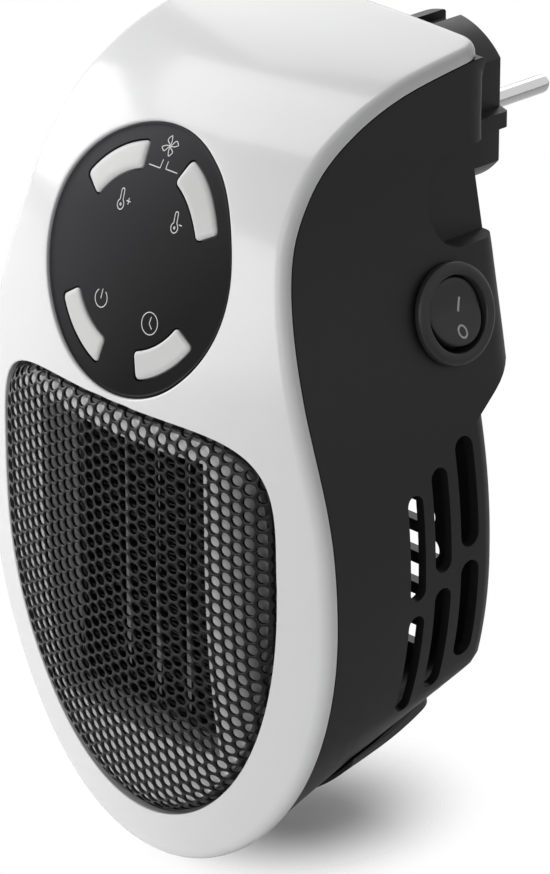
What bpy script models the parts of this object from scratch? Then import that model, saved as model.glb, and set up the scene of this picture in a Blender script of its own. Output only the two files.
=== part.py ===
"""A plug-in fan heater: white front shell, black rear housing, heater stack, fan, controls, switch and plug.

The body is modelled with x to the right, y towards the wall from the housing's back face, and z up from the
lowest point. Every object is then moved so that the origin is the middle of the plug's end face, between its
two pins.
"""
import math

import bpy
import numpy as np

# Overall sizes of the body, in metres
BODY_WIDTH = 0.1054
TOP_WIDTH = 0.0720
BODY_HEIGHT = 0.1758
BODY_DEPTH = 0.0600
WIDEST_HEIGHT = 0.0715
SHOULDER_HEIGHT = 0.1650
SWEEP_POWER = 1.12
CROWN_RADIUS = 0.1200

# The seam between shell and housing, seen from the side: shares of BODY_DEPTH and of BODY_HEIGHT
SEAM_SHARES = (
    (-1.008, 0.0), (-0.975, 0.13), (-0.968, 0.256), (-0.985, 0.4835), (-1.022, 0.671),
    (-0.972, 0.8134), (-0.855, 0.893), (-0.683, 0.944), (-0.417, 0.9795), (0.0, 1.0),
)
# How much of the full crown stands over the seam, by height as a share of BODY_HEIGHT
CROWN_SHARES = ((0.0, 1.0), (0.62, 1.0), (0.78, 0.75), (0.93, 0.75), (1.0, 0.2))

# Walls, lips and clearances
SHELL_WALL = 0.0022
HOUSING_WALL = 0.0022
LIP_DEPTH = 0.0027
LIP_ROUND = 0.0020
SHELL_CORNER = 0.0060
HOUSING_CORNER = 0.0050
STEP_CORNER = 0.0070
WIDE_CORNER = 0.0090
REST_GAP = 0.0003
TOP_GAP = 0.0007
SLIDE_GAP = 0.00035
OVERRUN = 0.0100

# The bevelled underside and the stepped back of the housing
BEVEL_RISE = 0.0290
CREASE_HEIGHT = 0.0380
CREASE_RISE = 0.0105
BACK_STEP = 0.0112
STEP_HEIGHT = 0.1050
STEP_SLOPE = 0.0080

# The underside pad
PAD_FRONT = 0.0420
PAD_GAP = 0.0005
PAD_THIN = 0.0008
PAD_THICK = 0.0038
PAD_HALF_ANGLE = math.radians(44.0)
PAD_ROUND = 0.0060

# The outlet opening, its perforated sheet and the frame behind it
OPENING_WIDTH = 0.0836
OPENING_MIDDLE_HEIGHT = 0.0748
OPENING_BELOW = 0.0635
OPENING_ABOVE = 0.0335
OPENING_POWER = 5.0
SHEET_THICKNESS = 0.0009
SHEET_PROUD = 0.0015
SHEET_SKIRT = 0.0025
SHEET_FIT = 0.0004
SHEET_PITCH = 0.0150
SHEET_HOLE = 0.0060
SHEET_BORDER = 0.0060
FRAME_INSIDE = 0.0035
FRAME_OUTSIDE = 0.0030
FRAME_INSIDE_TOP = 0.0003
FRAME_THICKNESS = 0.0015
FRAME_GAP = 0.0010

# The air duct and the plate that carries the heater
DUCT_INSIDE = 0.0008
DUCT_WALL = 0.0014
DUCT_REAR = 0.0523
PLATE_FRONT = 0.0598
PLATE_THICKNESS = 0.0014
PLATE_FIT = 0.0004

# The light surround in front of the heater
SURROUND_SINK = 0.0015
SURROUND_THICKNESS = 0.0012
SURROUND_WALL = 0.0012

# The heater: frame, fins and strips
HEATER_FRONT = 0.0600
HEATER_DEPTH = 0.0074
HEATER_WIDTH = 0.0484
HEATER_LOW = 0.0326
HEATER_TALL = 0.0680
HEATER_FRAME = 0.0014
STRIP_COUNT = 3
STRIP_PITCH = 0.0094
STRIP_THICKNESS = 0.0013
FIN_SHEET = 0.0009
FIN_FOLDS = 8

# The thermal cut-out on the plate
CUTOUT_RADIUS = 0.0060
CUTOUT_DEPTH = 0.0042
CUTOUT_RIGHT = 0.0318
CUTOUT_HEIGHT = 0.0600

# The fan, its shroud, bracket and motor
FAN_HEIGHT = 0.0640
SHROUD_PLATE = 0.0015
SHROUD_RADIUS = 0.0330
SHROUD_WALL = 0.0015
SHROUD_REAR = 0.0395
BRACKET_THICKNESS = 0.0020
BRACKET_RIM = 0.0035
BRACKET_HUB = 0.0030
BRACKET_ARMS = 3
BRACKET_ARM_WIDTH = 0.0060
MOTOR_RADIUS = 0.0120
MOTOR_FRONT = 0.0389
MOTOR_LENGTH = 0.0180
MOTOR_BORE_DEPTH = 0.0060
SHAFT_RADIUS = 0.0010
SHAFT_LENGTH = 0.0140
ROTOR_FRONT = 0.0495
ROTOR_DEPTH = 0.0085
HUB_RADIUS = 0.0090
BLADE_TIP = 0.0313
BLADE_COUNT = 7
BLADE_THICKNESS = 0.0012
BLADE_CHORD_SHARES = ((0.0, 0.62, 52.0), (0.35, 0.78, 44.0), (0.7, 0.9, 36.0), (1.0, 0.95, 30.0))

# The control panel, its buttons and the board behind it
PANEL_HALF_WIDTH = 0.0269
PANEL_HALF_RUN = 0.0259
PANEL_HEIGHT = 0.1365
PANEL_THICKNESS = 0.0020
PANEL_SINK = 0.0013
BUTTON_INNER = 0.0175
BUTTON_OUTER = 0.0243
BUTTON_HALF_SPAN = math.radians(22.5)
BUTTON_SINK = 0.0005
BUTTON_BACK = 0.0040
BUTTON_ANGLES = (
    ("button_temp_down", 49.0), ("button_temp_up", 125.0), ("button_power", 233.0), ("button_timer", 306.0),
)
TACT_SIDE = 0.0060
TACT_GAP = 0.0009
BOARD_THICKNESS = 0.0016
BOARD_RADIUS = 0.0245
BOARD_DEPTH = 0.0090
BOSS_RADIUS = 0.0020
BOSS_PLACE = 0.0200

# The rocker switch in the right side wall
SWITCH_BACK = 0.0171
SWITCH_HEIGHT = 0.1249
SWITCH_FLANGE = 0.0109
SWITCH_FLANGE_THICKNESS = 0.0020
SWITCH_BARREL = 0.0094
SWITCH_BARREL_LENGTH = 0.0135
ROCKER_RADIUS = 0.0076
ROCKER_FIT = 0.0005
ROCKER_VALLEY = 0.0008
ROCKER_KEEL = 0.0050
ROCKER_TILT = math.radians(7.0)
ROCKER_PIVOT_DEPTH = 0.0030
ROCKER_POCKET = 0.0075
TERMINAL_WIDTH = 0.0048
TERMINAL_THICKNESS = 0.0008
TERMINAL_LENGTH = 0.0070
TERMINAL_SPACING = 0.0070

# The mains plug
PLUG_REACH = 0.0270
PLUG_AXIS_HEIGHT = 0.1508
PLUG_RADIUS = 0.0185
PLUG_FLAT = 0.0144
PLUG_NOTCH_WIDTH = 0.0050
PLUG_NOTCH_DEPTH = 0.0024
PLUG_RIB_WIDTH = 0.0036
PLUG_RIB_HEIGHT = 0.0022
PLUG_RIB_DROP = 0.0016
PLUG_NECK_RADIUS = 0.0140
PLUG_NECK_DEPTH = 0.0090
PIN_SPACING = 0.0190
PIN_RADIUS = 0.0020
PIN_LENGTH = 0.0190
PIN_ROOT = 0.0120
CLAMP_RADIUS = 0.0170
CLAMP_THICKNESS = 0.0030

# The power board in the upper rear of the housing
POWER_BACK = 0.0184
POWER_LEFT = 0.0270
POWER_RIGHT = 0.0170
POWER_LOW = 0.1120
POWER_HIGH = 0.1380
POWER_POST = 0.0024
POWER_POST_INSET = 0.0033
RELAY_SIZE = (0.0150, 0.0150, 0.0180)
CAPACITOR_SIZE = (0.0130, 0.0090, 0.0160)
TERMINAL_BLOCK_SIZE = (0.0110, 0.0090, 0.0120)

# Side slots: middle, lowest point and top of each column's two slots, and their widths
SLOT_COLUMNS = (
    (0.0352, 0.00220, 0.0408, 0.0647, 0.0682, 0.0918),
    (0.0278, 0.00235, 0.0447, 0.0688, 0.0725, 0.0957),
    (0.0200, 0.00260, 0.0500, 0.0728, 0.0760, 0.1002),
)
INTAKE_RADIUS = 0.0400
INTAKE_PITCH = 0.0073
INTAKE_SLOT = 0.0046
INTAKE_ROWS = 8

# Finger notches in both side walls, below the plug
NOTCH_LOW = 0.1370
NOTCH_HIGH = 0.1568
NOTCH_FRONT = 0.0186
NOTCH_DEPTH = 0.0045
NOTCH_LEAN = -0.21

# Screws and the posts they go into
SCREW_RADIUS = 0.0013
SCREW_HEAD_RADIUS = 0.0026
SCREW_HEAD_DEPTH = 0.0014
SCREW_GRIP = 0.0100
POST_RADIUS = 0.0026
SCREW_RIGHT = 0.0280
SCREW_HEIGHT = 0.1655

# Where the rings of curved skins lie, and how far edges and corners are rounded, as shares
SHELL_RING_SHARES = (0.35, 0.55, 0.7, 0.82, 0.92)
PANEL_RING_SHARES = (0.35, 0.7, 0.9, 1.0)
HOUSING_RING_SHARES = (0.0, 0.2, 0.55, 0.8)
SHEET_RING_SHARES = ((0.6, 1.0), (0.25, 1.0), (0.08, 0.75))
SHEET_EDGE_SHARE = 0.02
PAD_ROUND_SHARES = (0.4, 0.0)
TOP_RIM_SHARE = 1.6
CORNER_LIMIT_SHARE = 0.45
LEDGE_WALL_SHARE = 1.2
NOTCH_ROUND_SHARE = 0.8
BUTTON_CORNER_SHARE = 0.2
MOTOR_SHOULDER_SHARE = 0.12
BLADE_ROOT_SHARE = 0.9
BLADE_ROOM_SHARE = 0.92
SWITCH_FLANGE_SHARES = (0.6, 0.93)
SCREW_DOME_SHARE = 0.7

SIDE_POINTS = 14
PANEL_POINTS = 28
ROUND_POINTS = 20
FINE_POINTS = 400


# Materials
def material(name, colour, roughness, metallic=0.0):
    """A plain finish with the part's colour, roughness and metallic value."""
    made = bpy.data.materials.new(name)
    made.use_nodes = True
    shader = made.node_tree.nodes["Principled BSDF"]
    shader.inputs["Base Color"].default_value = (*colour, 1.0)
    shader.inputs["Roughness"].default_value = roughness
    shader.inputs["Metallic"].default_value = metallic
    return made


def make_materials():
    """All finishes by name."""
    return {
        "white_shell": material("white_shell", (0.82, 0.82, 0.82), 0.25),
        "black_housing": material("black_housing", (0.022, 0.022, 0.023), 0.5),
        "black_rubber": material("black_rubber", (0.02, 0.02, 0.02), 0.7),
        "grille_steel": material("grille_steel", (0.03, 0.03, 0.03), 0.4, 0.6),
        "black_panel": material("black_panel", (0.018, 0.018, 0.019), 0.4),
        "button_white": material("button_white", (0.75, 0.75, 0.75), 0.35),
        "board_green": material("board_green", (0.03, 0.16, 0.07), 0.5),
        "component_black": material("component_black", (0.03, 0.03, 0.03), 0.5),
        "duct_light": material("duct_light", (0.7, 0.69, 0.66), 0.6),
        "frame_black": material("frame_black", (0.02, 0.02, 0.02), 0.6),
        "fin_aluminium": material("fin_aluminium", (0.6, 0.6, 0.62), 0.35, 1.0),
        "strip_aluminium": material("strip_aluminium", (0.75, 0.75, 0.77), 0.3, 1.0),
        "steel": material("steel", (0.55, 0.55, 0.56), 0.35, 1.0),
        "chrome_pin": material("chrome_pin", (0.8, 0.8, 0.82), 0.12, 1.0),
        "rocker_black": material("rocker_black", (0.02, 0.02, 0.02), 0.25),
        "plug_black": material("plug_black", (0.022, 0.022, 0.022), 0.5),
        "motor_steel": material("motor_steel", (0.45, 0.45, 0.46), 0.4, 1.0),
        "copper_brass": material("copper_brass", (0.75, 0.55, 0.25), 0.35, 1.0),
    }


# The body's outline and seam
def outline_half_width(z):
    """Half the body's width at height z: half an ellipse below the widest point, a cosine sweep above it."""
    half, top = BODY_WIDTH / 2, TOP_WIDTH / 2
    below = half * np.sqrt(np.clip(1 - ((WIDEST_HEIGHT - z) / WIDEST_HEIGHT) ** 2, 0, 1))
    reach = np.clip((z - WIDEST_HEIGHT) / (SHOULDER_HEIGHT - WIDEST_HEIGHT), 0, 1)
    above = top + (half - top) * (1 + np.cos(math.pi * reach**SWEEP_POWER)) / 2
    return np.where(z < WIDEST_HEIGHT, below, above)


def smooth_curve(points, count):
    """A smooth curve through all the points (Catmull-Rom), read at count places of even spacing."""
    points = np.asarray(points, float)
    ends = (2 * points[0] - points[1], 2 * points[-1] - points[-2])
    padded = np.vstack((ends[0], points, ends[1]))
    place = np.linspace(0, len(points) - 1, count * 4)
    span = np.minimum(place.astype(int), len(points) - 2)
    t = (place - span)[:, None]
    a, b, c, d = (padded[span + i] for i in range(4))
    curve = 0.5 * (2 * b + (c - a) * t + (2 * a - 5 * b + 4 * c - d) * t**2 + (3 * b - a - 3 * c + d) * t**3)
    run = np.concatenate(([0], np.cumsum(np.linalg.norm(np.diff(curve, axis=0), axis=1))))
    even = np.linspace(0, run[-1], count)
    return np.stack([np.interp(even, run, curve[:, i]) for i in range(curve.shape[1])], axis=1), even


def make_seam():
    """The seam's side view: depth, height, outward direction and run from the bottom, as fine arrays."""
    corners = [(depth * BODY_DEPTH, height * BODY_HEIGHT) for depth, height in SEAM_SHARES]
    curve, run = smooth_curve(corners, FINE_POINTS)
    along = np.gradient(curve, axis=0)
    along /= np.linalg.norm(along, axis=1)[:, None]
    return {"y": curve[:, 0], "z": curve[:, 1], "ny": -along[:, 1], "nz": along[:, 0], "run": run}


SEAM = make_seam()
RUN_END = SEAM["run"][-1]


def seam_value(key, run):
    """One of the seam's values at a run from the bottom."""
    return np.interp(run, SEAM["run"], SEAM[key])


def run_at(z):
    """The run along the seam at height z."""
    return np.interp(z, SEAM["z"], SEAM["run"])


def over_seam(x, run, height):
    """The point at x across, run along the seam and height outwards from it."""
    y = seam_value("y", run) + seam_value("ny", run) * height
    z = seam_value("z", run) + seam_value("nz", run) * height
    return np.stack(np.broadcast_arrays(x, y, z), axis=-1)


def crown(x, run):
    """How far the shell bulges over its lip: a parabola across, scaled by the crown shares up the body."""
    z = seam_value("z", run)
    heights, shares = zip(*CROWN_SHARES)
    share = np.interp(z, np.array(heights) * BODY_HEIGHT, shares)
    return share * np.maximum(outline_half_width(z) ** 2 - np.asarray(x) ** 2, 0) / (2 * CROWN_RADIUS)


def shell_face(x, z):
    """The depth of the shell's outer face at a point of its upright part."""
    run = run_at(z)
    return seam_value("y", run) - LIP_DEPTH - crown(x, run)


def half_width(y, z):
    """Half the housing's width at depth y: the body's outline, cut below the crease by the rising bevel."""
    egg = outline_half_width(z)
    front = SEAM["y"][0]
    rise = np.clip((y - front) / (-BACK_STEP - front), 0, 1)
    crease = CREASE_HEIGHT + CREASE_RISE * rise**2
    tall = WIDEST_HEIGHT - BEVEL_RISE * rise
    wide = outline_half_width(crease) / np.sqrt(1 - ((WIDEST_HEIGHT - crease) / tall) ** 2)
    bevel = wide * np.sqrt(np.clip(1 - ((WIDEST_HEIGHT - z) / tall) ** 2, 0, 1))
    return np.where(z < crease, np.minimum(egg, bevel), egg)


# Mesh helpers
def clear_scene():
    """Remove every object from the scene."""
    for old in list(bpy.data.objects):
        bpy.data.objects.remove(old, do_unlink=True)


def place_in_frame(made, pivot):
    """Move an object, modelled about pivot in the body's frame, to the frame of the plug's end face."""
    made.location = (pivot[0], pivot[1] - PLUG_REACH, pivot[2] - PLUG_AXIS_HEIGHT)


def add_mesh(name, points, faces, finish=None, pivot=(0, 0, 0), sharp=40.0):
    """An object from points in the body's frame, with its origin at pivot."""
    mesh = bpy.data.meshes.new(name)
    mesh.from_pydata([tuple(p) for p in np.asarray(points) - np.asarray(pivot)], [], faces)
    mesh.shade_smooth()
    mesh.set_sharp_from_angle(angle=math.radians(sharp))
    made = bpy.data.objects.new(name, mesh)
    bpy.context.scene.collection.objects.link(made)
    place_in_frame(made, pivot)
    if finish:
        mesh.materials.append(FINISHES[finish])
    else:
        made.hide_render = True
        made.display_type = "WIRE"
    return made


def facing_out(points, faces):
    """The faces of one closed body, turned over if the volume inside them comes out negative."""
    points = np.asarray(points)
    heart = points.mean(axis=0)
    volume = 0.0
    for face in faces:
        corners = points[list(face)] - heart
        volume += np.einsum("j,ij->", corners[0], np.cross(corners[1:-1], corners[2:]))
    return [face[::-1] for face in faces] if volume < 0 else faces


def skin_rings(rings, split=False):
    """Points and faces of a closed skin over rings of equal length; a first or last single point is a pole.
    Its four-cornered faces are split in two where they may not be flat."""
    points, faces, starts = [], [], []
    for ring in rings:
        starts.append(len(points))
        points.extend(np.atleast_2d(ring))
    for (start, ring), (after, upper) in zip(zip(starts, rings), zip(starts[1:], rings[1:])):
        count = max(len(np.atleast_2d(ring)), len(np.atleast_2d(upper)))
        for i in range(count):
            j = (i + 1) % count
            if len(np.atleast_2d(ring)) == 1:
                faces.append((start, after + i, after + j))
            elif len(np.atleast_2d(upper)) == 1:
                faces.append((start + i, after, start + j))
            elif split:
                faces.append((start + i, after + i, after + j))
                faces.append((start + i, after + j, start + j))
            else:
                faces.append((start + i, after + i, after + j, start + j))
    first, last = np.atleast_2d(rings[0]), np.atleast_2d(rings[-1])
    if len(first) > 1:
        faces.append(tuple(range(len(first))))
    if len(last) > 1:
        faces.append(tuple(range(starts[-1], starts[-1] + len(last)))[::-1])
    return points, facing_out(points, faces)


def torus_faces(rings):
    """Points and faces of a closed skin whose last ring joins its first."""
    count, points, faces = len(rings[0]), np.concatenate(rings), []
    for ring in range(len(rings)):
        after = (ring + 1) % len(rings)
        for i in range(count):
            j = (i + 1) % count
            faces.append((ring * count + i, after * count + i, after * count + j))
            faces.append((ring * count + i, after * count + j, ring * count + j))
    return points, facing_out(points, faces)


def add_rings(name, rings, finish=None, pivot=(0, 0, 0), sharp=40.0):
    """A closed body over rings."""
    points, faces = skin_rings(rings, split=True)
    return add_mesh(name, points, faces, finish, pivot, sharp)


def add_prisms(name, outlines, finish=None, pivot=(0, 0, 0)):
    """Bodies between pairs of matching outlines, all in one object."""
    points, faces = [], []
    for near, far in outlines:
        new_points, new_faces = skin_rings([near, far])
        faces.extend(tuple(len(points) + i for i in face) for face in new_faces)
        points.extend(new_points)
    return add_mesh(name, points, faces, finish, pivot)


def add_bodies(name, bodies, finish=None):
    """Several closed bodies over rings, in one object."""
    points, faces = [], []
    for rings in bodies:
        new_points, new_faces = skin_rings(rings, split=True)
        faces.extend(tuple(len(points) + i for i in face) for face in new_faces)
        points.extend(new_points)
    return add_mesh(name, points, faces, finish)


def along_y(outline, near, far):
    """A pair of matching outlines, from points (x, z), at depths near and far."""
    outline = np.asarray(outline, float)
    depths = (np.full(len(outline), depth) for depth in (near, far))
    return [np.stack((outline[:, 0], depth, outline[:, 1]), axis=1) for depth in depths]


def along_x(outline, near, far, lean=0.0, middle=0.0):
    """A pair of matching outlines, from points (y, z), at near and far across, leaning with height."""
    outline = np.asarray(outline, float)
    slide = lean * (outline[:, 1] - middle)
    return [np.stack((across + slide, outline[:, 0], outline[:, 1]), axis=1) for across in (near, far)]


def circle(radius, middle=(0.0, 0.0), count=ROUND_POINTS, turn=0.0):
    """Points (a, b) on a circle."""
    angle = np.linspace(0, 2 * math.pi, count, endpoint=False) + turn
    return np.stack((middle[0] + radius * np.cos(angle), middle[1] + radius * np.sin(angle)), axis=1)


def rectangle(left, right, low, high):
    """The four corners (a, b) of a rectangle."""
    return [(left, low), (right, low), (right, high), (left, high)]


def capsule(middle, half_wide, low, high, count=4):
    """A slot's outline (a, b) with round ends, upright, from low to high."""
    angle = np.linspace(0, math.pi, count + 1)
    up = [(middle + half_wide * math.cos(t), high - half_wide + half_wide * math.sin(t)) for t in angle]
    down = [(middle - half_wide * math.cos(t), low + half_wide - half_wide * math.sin(t)) for t in angle]
    return up + down


def lathe_rings(profile, middle, count=ROUND_POINTS):
    """Rings about an axis along y through middle (x, z), from a profile of (radius, depth) that may start and
    end on the axis."""
    rings = []
    for radius, depth in profile:
        ring = circle(radius, middle, count) if radius else np.array([middle])
        rings.append(np.stack((ring[:, 0], np.full(len(ring), depth), ring[:, 1]), axis=1))
    return rings


def boolean(target, other, operation="DIFFERENCE"):
    """A live Boolean on target, with other hidden from the build."""
    step = target.modifiers.new(f"{operation.lower()}_{other.name}", "BOOLEAN")
    step.operation = operation
    step.object = other
    other.hide_render = True
    other.display_type = "WIRE"
    return step


# The front shell
def shell_outline(inset):
    """The shell's outline in (across, run), from the bottom round the right side, moved inwards by inset."""
    angle = np.linspace(-math.pi / 2, 0, 12)
    low_z = WIDEST_HEIGHT * (1 + np.sin(angle))
    right = [(x, r) for x, r in zip(BODY_WIDTH / 2 * np.cos(angle), run_at(low_z))]
    side = np.linspace(run_at(WIDEST_HEIGHT), RUN_END - SHELL_CORNER, SIDE_POINTS)[1:-1]
    right += list(zip(outline_half_width(seam_value("z", side)), side))
    middle = (TOP_WIDTH / 2 - SHELL_CORNER, RUN_END - SHELL_CORNER)
    for turn in np.linspace(0, math.pi / 2, 4):
        right.append((middle[0] + SHELL_CORNER * math.cos(turn), middle[1] + SHELL_CORNER * math.sin(turn)))
    right += [(middle[0] / 2, RUN_END), (0.0, RUN_END)]
    right[0] = (0.0, 0.0)
    left = [(-x, r) for x, r in right[-2:0:-1]]
    outline = np.array(right + left)
    along = np.roll(outline, -1, axis=0) - np.roll(outline, 1, axis=0)
    along /= np.linalg.norm(along, axis=1)[:, None]
    return outline - inset * np.stack((along[:, 1], -along[:, 0]), axis=1)


def shell_ring(outline, height, crowned=True):
    """A ring of points over an outline, at a height over the seam plus the crown."""
    x, run = outline[:, 0], outline[:, 1]
    return over_seam(x, run, height + (crown(x, run) if crowned else 0))


def make_front_shell():
    """The crowned shell with its lip, the outlet opening, the panel's hole and two posts for the screws."""
    middle = np.array((0.0, run_at(OPENING_MIDDLE_HEIGHT)))
    rounded, inner = shell_outline(LIP_ROUND), shell_outline(SHELL_WALL)
    pole = middle[None]
    rings = [shell_ring(pole, LIP_DEPTH)]
    rings += [shell_ring(middle + share * (rounded - middle), LIP_DEPTH) for share in SHELL_RING_SHARES]
    for turn in (90.0, 45.0, 0.0):
        inset = LIP_ROUND * (1 - math.cos(math.radians(turn)))
        drop = LIP_ROUND * (1 - math.sin(math.radians(turn)))
        rings.append(shell_ring(shell_outline(inset), LIP_DEPTH - drop))
    rings.append(shell_ring(shell_outline(0.0), 0.0, crowned=False))
    rings.append(shell_ring(inner, 0.0, crowned=False))
    rings.append(shell_ring(inner, LIP_DEPTH - SHELL_WALL))
    rings += [shell_ring(middle + share * (inner - middle), LIP_DEPTH - SHELL_WALL)
              for share in SHELL_RING_SHARES[::-1]]
    rings.append(shell_ring(pole, LIP_DEPTH - SHELL_WALL))
    shell = add_rings("front_shell", rings, "white_shell")
    boolean(shell, add_bodies("union_posts", screw_posts()), "UNION")
    outlet = along_y(opening_outline(0.0), -BODY_DEPTH - BODY_WIDTH, -DUCT_REAR)
    boolean(shell, add_prisms("cutter_outlet", [outlet]))
    boolean(shell, add_prisms("cutter_panel_hole", [panel_prism(REST_GAP, BODY_WIDTH, BODY_WIDTH / 2)]))
    deep = -HOUSING_WALL - SCREW_GRIP
    pilots = [along_y(circle(SCREW_RADIUS + REST_GAP, place, 8), deep - REST_GAP, 0.0)
              for place in screw_places()]
    boolean(shell, add_prisms("cutter_pilots", pilots))
    return shell


def screw_places():
    """The two screws' places (x, z), right and left."""
    return ((SCREW_RIGHT, SCREW_HEIGHT), (-SCREW_RIGHT, SCREW_HEIGHT))


def screw_posts():
    """The rings of the posts, each from inside the shell's wall to the housing's back wall."""
    bodies = []
    run = np.linspace(0, RUN_END, FINE_POINTS)
    for place in screw_places():
        spots = np.vstack((place, circle(POST_RADIUS, place, 12)))
        front = []
        for across, height in spots:
            inside = over_seam(across, run, LIP_DEPTH - SHELL_WALL / 2 + crown(across, run))
            front.append(float(np.interp(height, inside[:, 2], inside[:, 1])))
        near = np.stack((spots[:, 0], front, spots[:, 1]), axis=1)
        far = np.stack((spots[:, 0], np.full(13, -HOUSING_WALL - REST_GAP), spots[:, 1]), axis=1)
        bodies.append([near[:1], near[1:], far[1:], far[:1]])
    return bodies


def opening_outline(grow, grow_top=None, count=44):
    """The outlet's outline (x, z), grown evenly: half an ellipse below its middle, a superellipse above."""
    angle = np.linspace(0, 2 * math.pi, count, endpoint=False)
    side, up = np.cos(angle), np.sin(angle)
    above = up > 0
    power = np.where(above, 2 / OPENING_POWER, 1.0)
    tall = np.where(above, OPENING_ABOVE + (grow if grow_top is None else grow_top), OPENING_BELOW + grow)
    x = (OPENING_WIDTH / 2 + grow) * np.sign(side) * np.abs(side) ** power
    z = OPENING_MIDDLE_HEIGHT + tall * np.sign(up) * np.abs(up) ** power
    return np.stack((x, z), axis=1)


# The control panel's frame: its rim's middle, and its across, upward and outward directions
def panel_frame():
    """The middle of the chord from the panel's bottom to its top, with the directions up it and out of it."""
    run = run_at(PANEL_HEIGHT)
    ends = (run - PANEL_HALF_RUN, run + PANEL_HALF_RUN)
    low, high = (over_seam(0.0, end, LIP_DEPTH + crown(0.0, end)) for end in ends)
    up = (high - low) / np.linalg.norm(high - low)
    return (low + high) / 2, np.array((1.0, 0.0, 0.0)), up, np.array((0.0, -up[2], up[1]))


def panel_surface(outline, sink):
    """The shell's crowned face for an outline (across, up from the panel's middle), sunk by sink."""
    outline = np.atleast_2d(outline)
    run = run_at(PANEL_HEIGHT) + outline[:, 1] * PANEL_HALF_RUN / PANEL_HALF_WIDTH
    return over_seam(outline[:, 0], run, LIP_DEPTH + crown(outline[:, 0], run)) - sink * panel_frame()[3]


def panel_outline(grow, share=1.0):
    """The panel's round outline (across, up), grown evenly or taken at a share of its size."""
    return circle(share * (PANEL_HALF_WIDTH + grow), count=PANEL_POINTS)


def to_plane(points, depth):
    """The points moved along the panel's outward direction to the plane at depth behind its rim."""
    middle, _, _, out = panel_frame()
    lift = (points - middle) @ out + depth
    return points - lift[:, None] * out


def panel_prism(grow, before, behind):
    """A prism along the panel's outward direction over its grown outline."""
    rim = panel_surface(panel_outline(grow), 0.0)
    return to_plane(rim, -before), to_plane(rim, behind)


def button_outline(angle, grow):
    """An arc button's outline (across, up): a ring sector with its corners drawn in, grown evenly."""
    inner, outer = BUTTON_INNER - grow, BUTTON_OUTER + grow
    middle = math.radians(angle)
    corner = BUTTON_OUTER / BUTTON_INNER - 1
    half_out, half_in = BUTTON_HALF_SPAN + grow / BUTTON_OUTER, BUTTON_HALF_SPAN + grow / BUTTON_INNER
    points = []
    for turn in np.linspace(-half_out, half_out, 9):
        points.append((outer * math.cos(middle + turn), outer * math.sin(middle + turn)))
    for turn in np.linspace(half_in, -half_in, 7):
        points.append((inner * math.cos(middle + turn), inner * math.sin(middle + turn)))
    points = np.array(points)
    ends = [0, 8, 9, 15]
    heart = points.mean(axis=0)
    points[ends] += (heart - points[ends]) * corner * BUTTON_CORNER_SHARE
    return points


def local_point(across, up, out):
    """A point in the panel's own frame."""
    middle, x_way, up_way, out_way = panel_frame()
    return middle + across * x_way + up * up_way + out * out_way


def local_prism(outline, near, far):
    """A pair of matching outlines (across, up) at two distances out of the panel's rim plane."""
    return [np.array([local_point(a, b, out) for a, b in outline]) for out in (near, far)]


def make_control_panel():
    """The round panel that follows the shell's face, with button openings and four bosses for the board."""
    pole = np.zeros((1, 2))
    under = PANEL_SINK + PANEL_THICKNESS
    rings = [panel_surface(pole, PANEL_SINK)]
    rings += [panel_surface(panel_outline(0.0, share), PANEL_SINK) for share in PANEL_RING_SHARES]
    rings += [panel_surface(panel_outline(0.0, share), under) for share in PANEL_RING_SHARES[::-1]]
    rings.append(panel_surface(pole, under))
    panel = add_rings("control_panel", rings, "black_panel")
    bosses = []
    for a, b in ((1, 0), (0, 1), (-1, 0), (0, -1)):
        ring = circle(BOSS_RADIUS, (BOSS_PLACE * a, BOSS_PLACE * b), 10)
        buried = panel_surface(ring, PANEL_SINK + PANEL_THICKNESS / 2)
        lift = float(((buried - panel_frame()[0]) @ panel_frame()[3]).mean())
        bosses.append((to_plane(buried, -lift), to_plane(buried, BOARD_DEPTH - REST_GAP)))
    boolean(panel, add_prisms("union_bosses", bosses), "UNION")
    holes = []
    for _, angle in BUTTON_ANGLES:
        rim = panel_surface(button_outline(angle, SLIDE_GAP), 0.0)
        holes.append((to_plane(rim, -OVERRUN), to_plane(rim, BOARD_DEPTH)))
    boolean(panel, add_prisms("cutter_buttons", holes))
    return panel


def make_buttons():
    """Four arc buttons that slide along the panel's outward direction, and the tact switches behind them."""
    for name, angle in BUTTON_ANGLES:
        outline = button_outline(angle, 0.0)
        rim = panel_surface(outline, PANEL_SINK + BUTTON_SINK)
        heart = outline.mean(axis=0, keepdims=True)
        top = panel_surface(heart, PANEL_SINK + BUTTON_SINK)
        pivot = to_plane(top, BUTTON_BACK)[0]
        rings = [top, rim, to_plane(rim, BUTTON_BACK), to_plane(top, BUTTON_BACK)]
        add_rings(name, rings, "button_white", pivot)
        middle = (BUTTON_INNER + BUTTON_OUTER) / 2
        a, b = middle * math.cos(math.radians(angle)), middle * math.sin(math.radians(angle))
        half = TACT_SIDE / 2
        tact = local_prism(rectangle(a - half, a + half, b - half, b + half), REST_GAP - BOARD_DEPTH,
                           -BUTTON_BACK - TACT_GAP)
        add_prisms(name.replace("button", "tact_switch"), [tact], "component_black")


def make_control_board():
    """The round board behind the panel, cut clear of the air duct below it."""
    outline = circle(BOARD_RADIUS, count=32)
    disc = local_prism(outline, -BOARD_DEPTH - BOARD_THICKNESS, -BOARD_DEPTH)
    board = add_prisms("control_board", [disc], "board_green")
    duct = opening_outline(DUCT_INSIDE + DUCT_WALL + REST_GAP)
    clear = along_y(duct, -BODY_DEPTH - BODY_WIDTH, -DUCT_REAR)
    boolean(board, add_prisms("cutter_board_clearance", [clear]))


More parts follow.
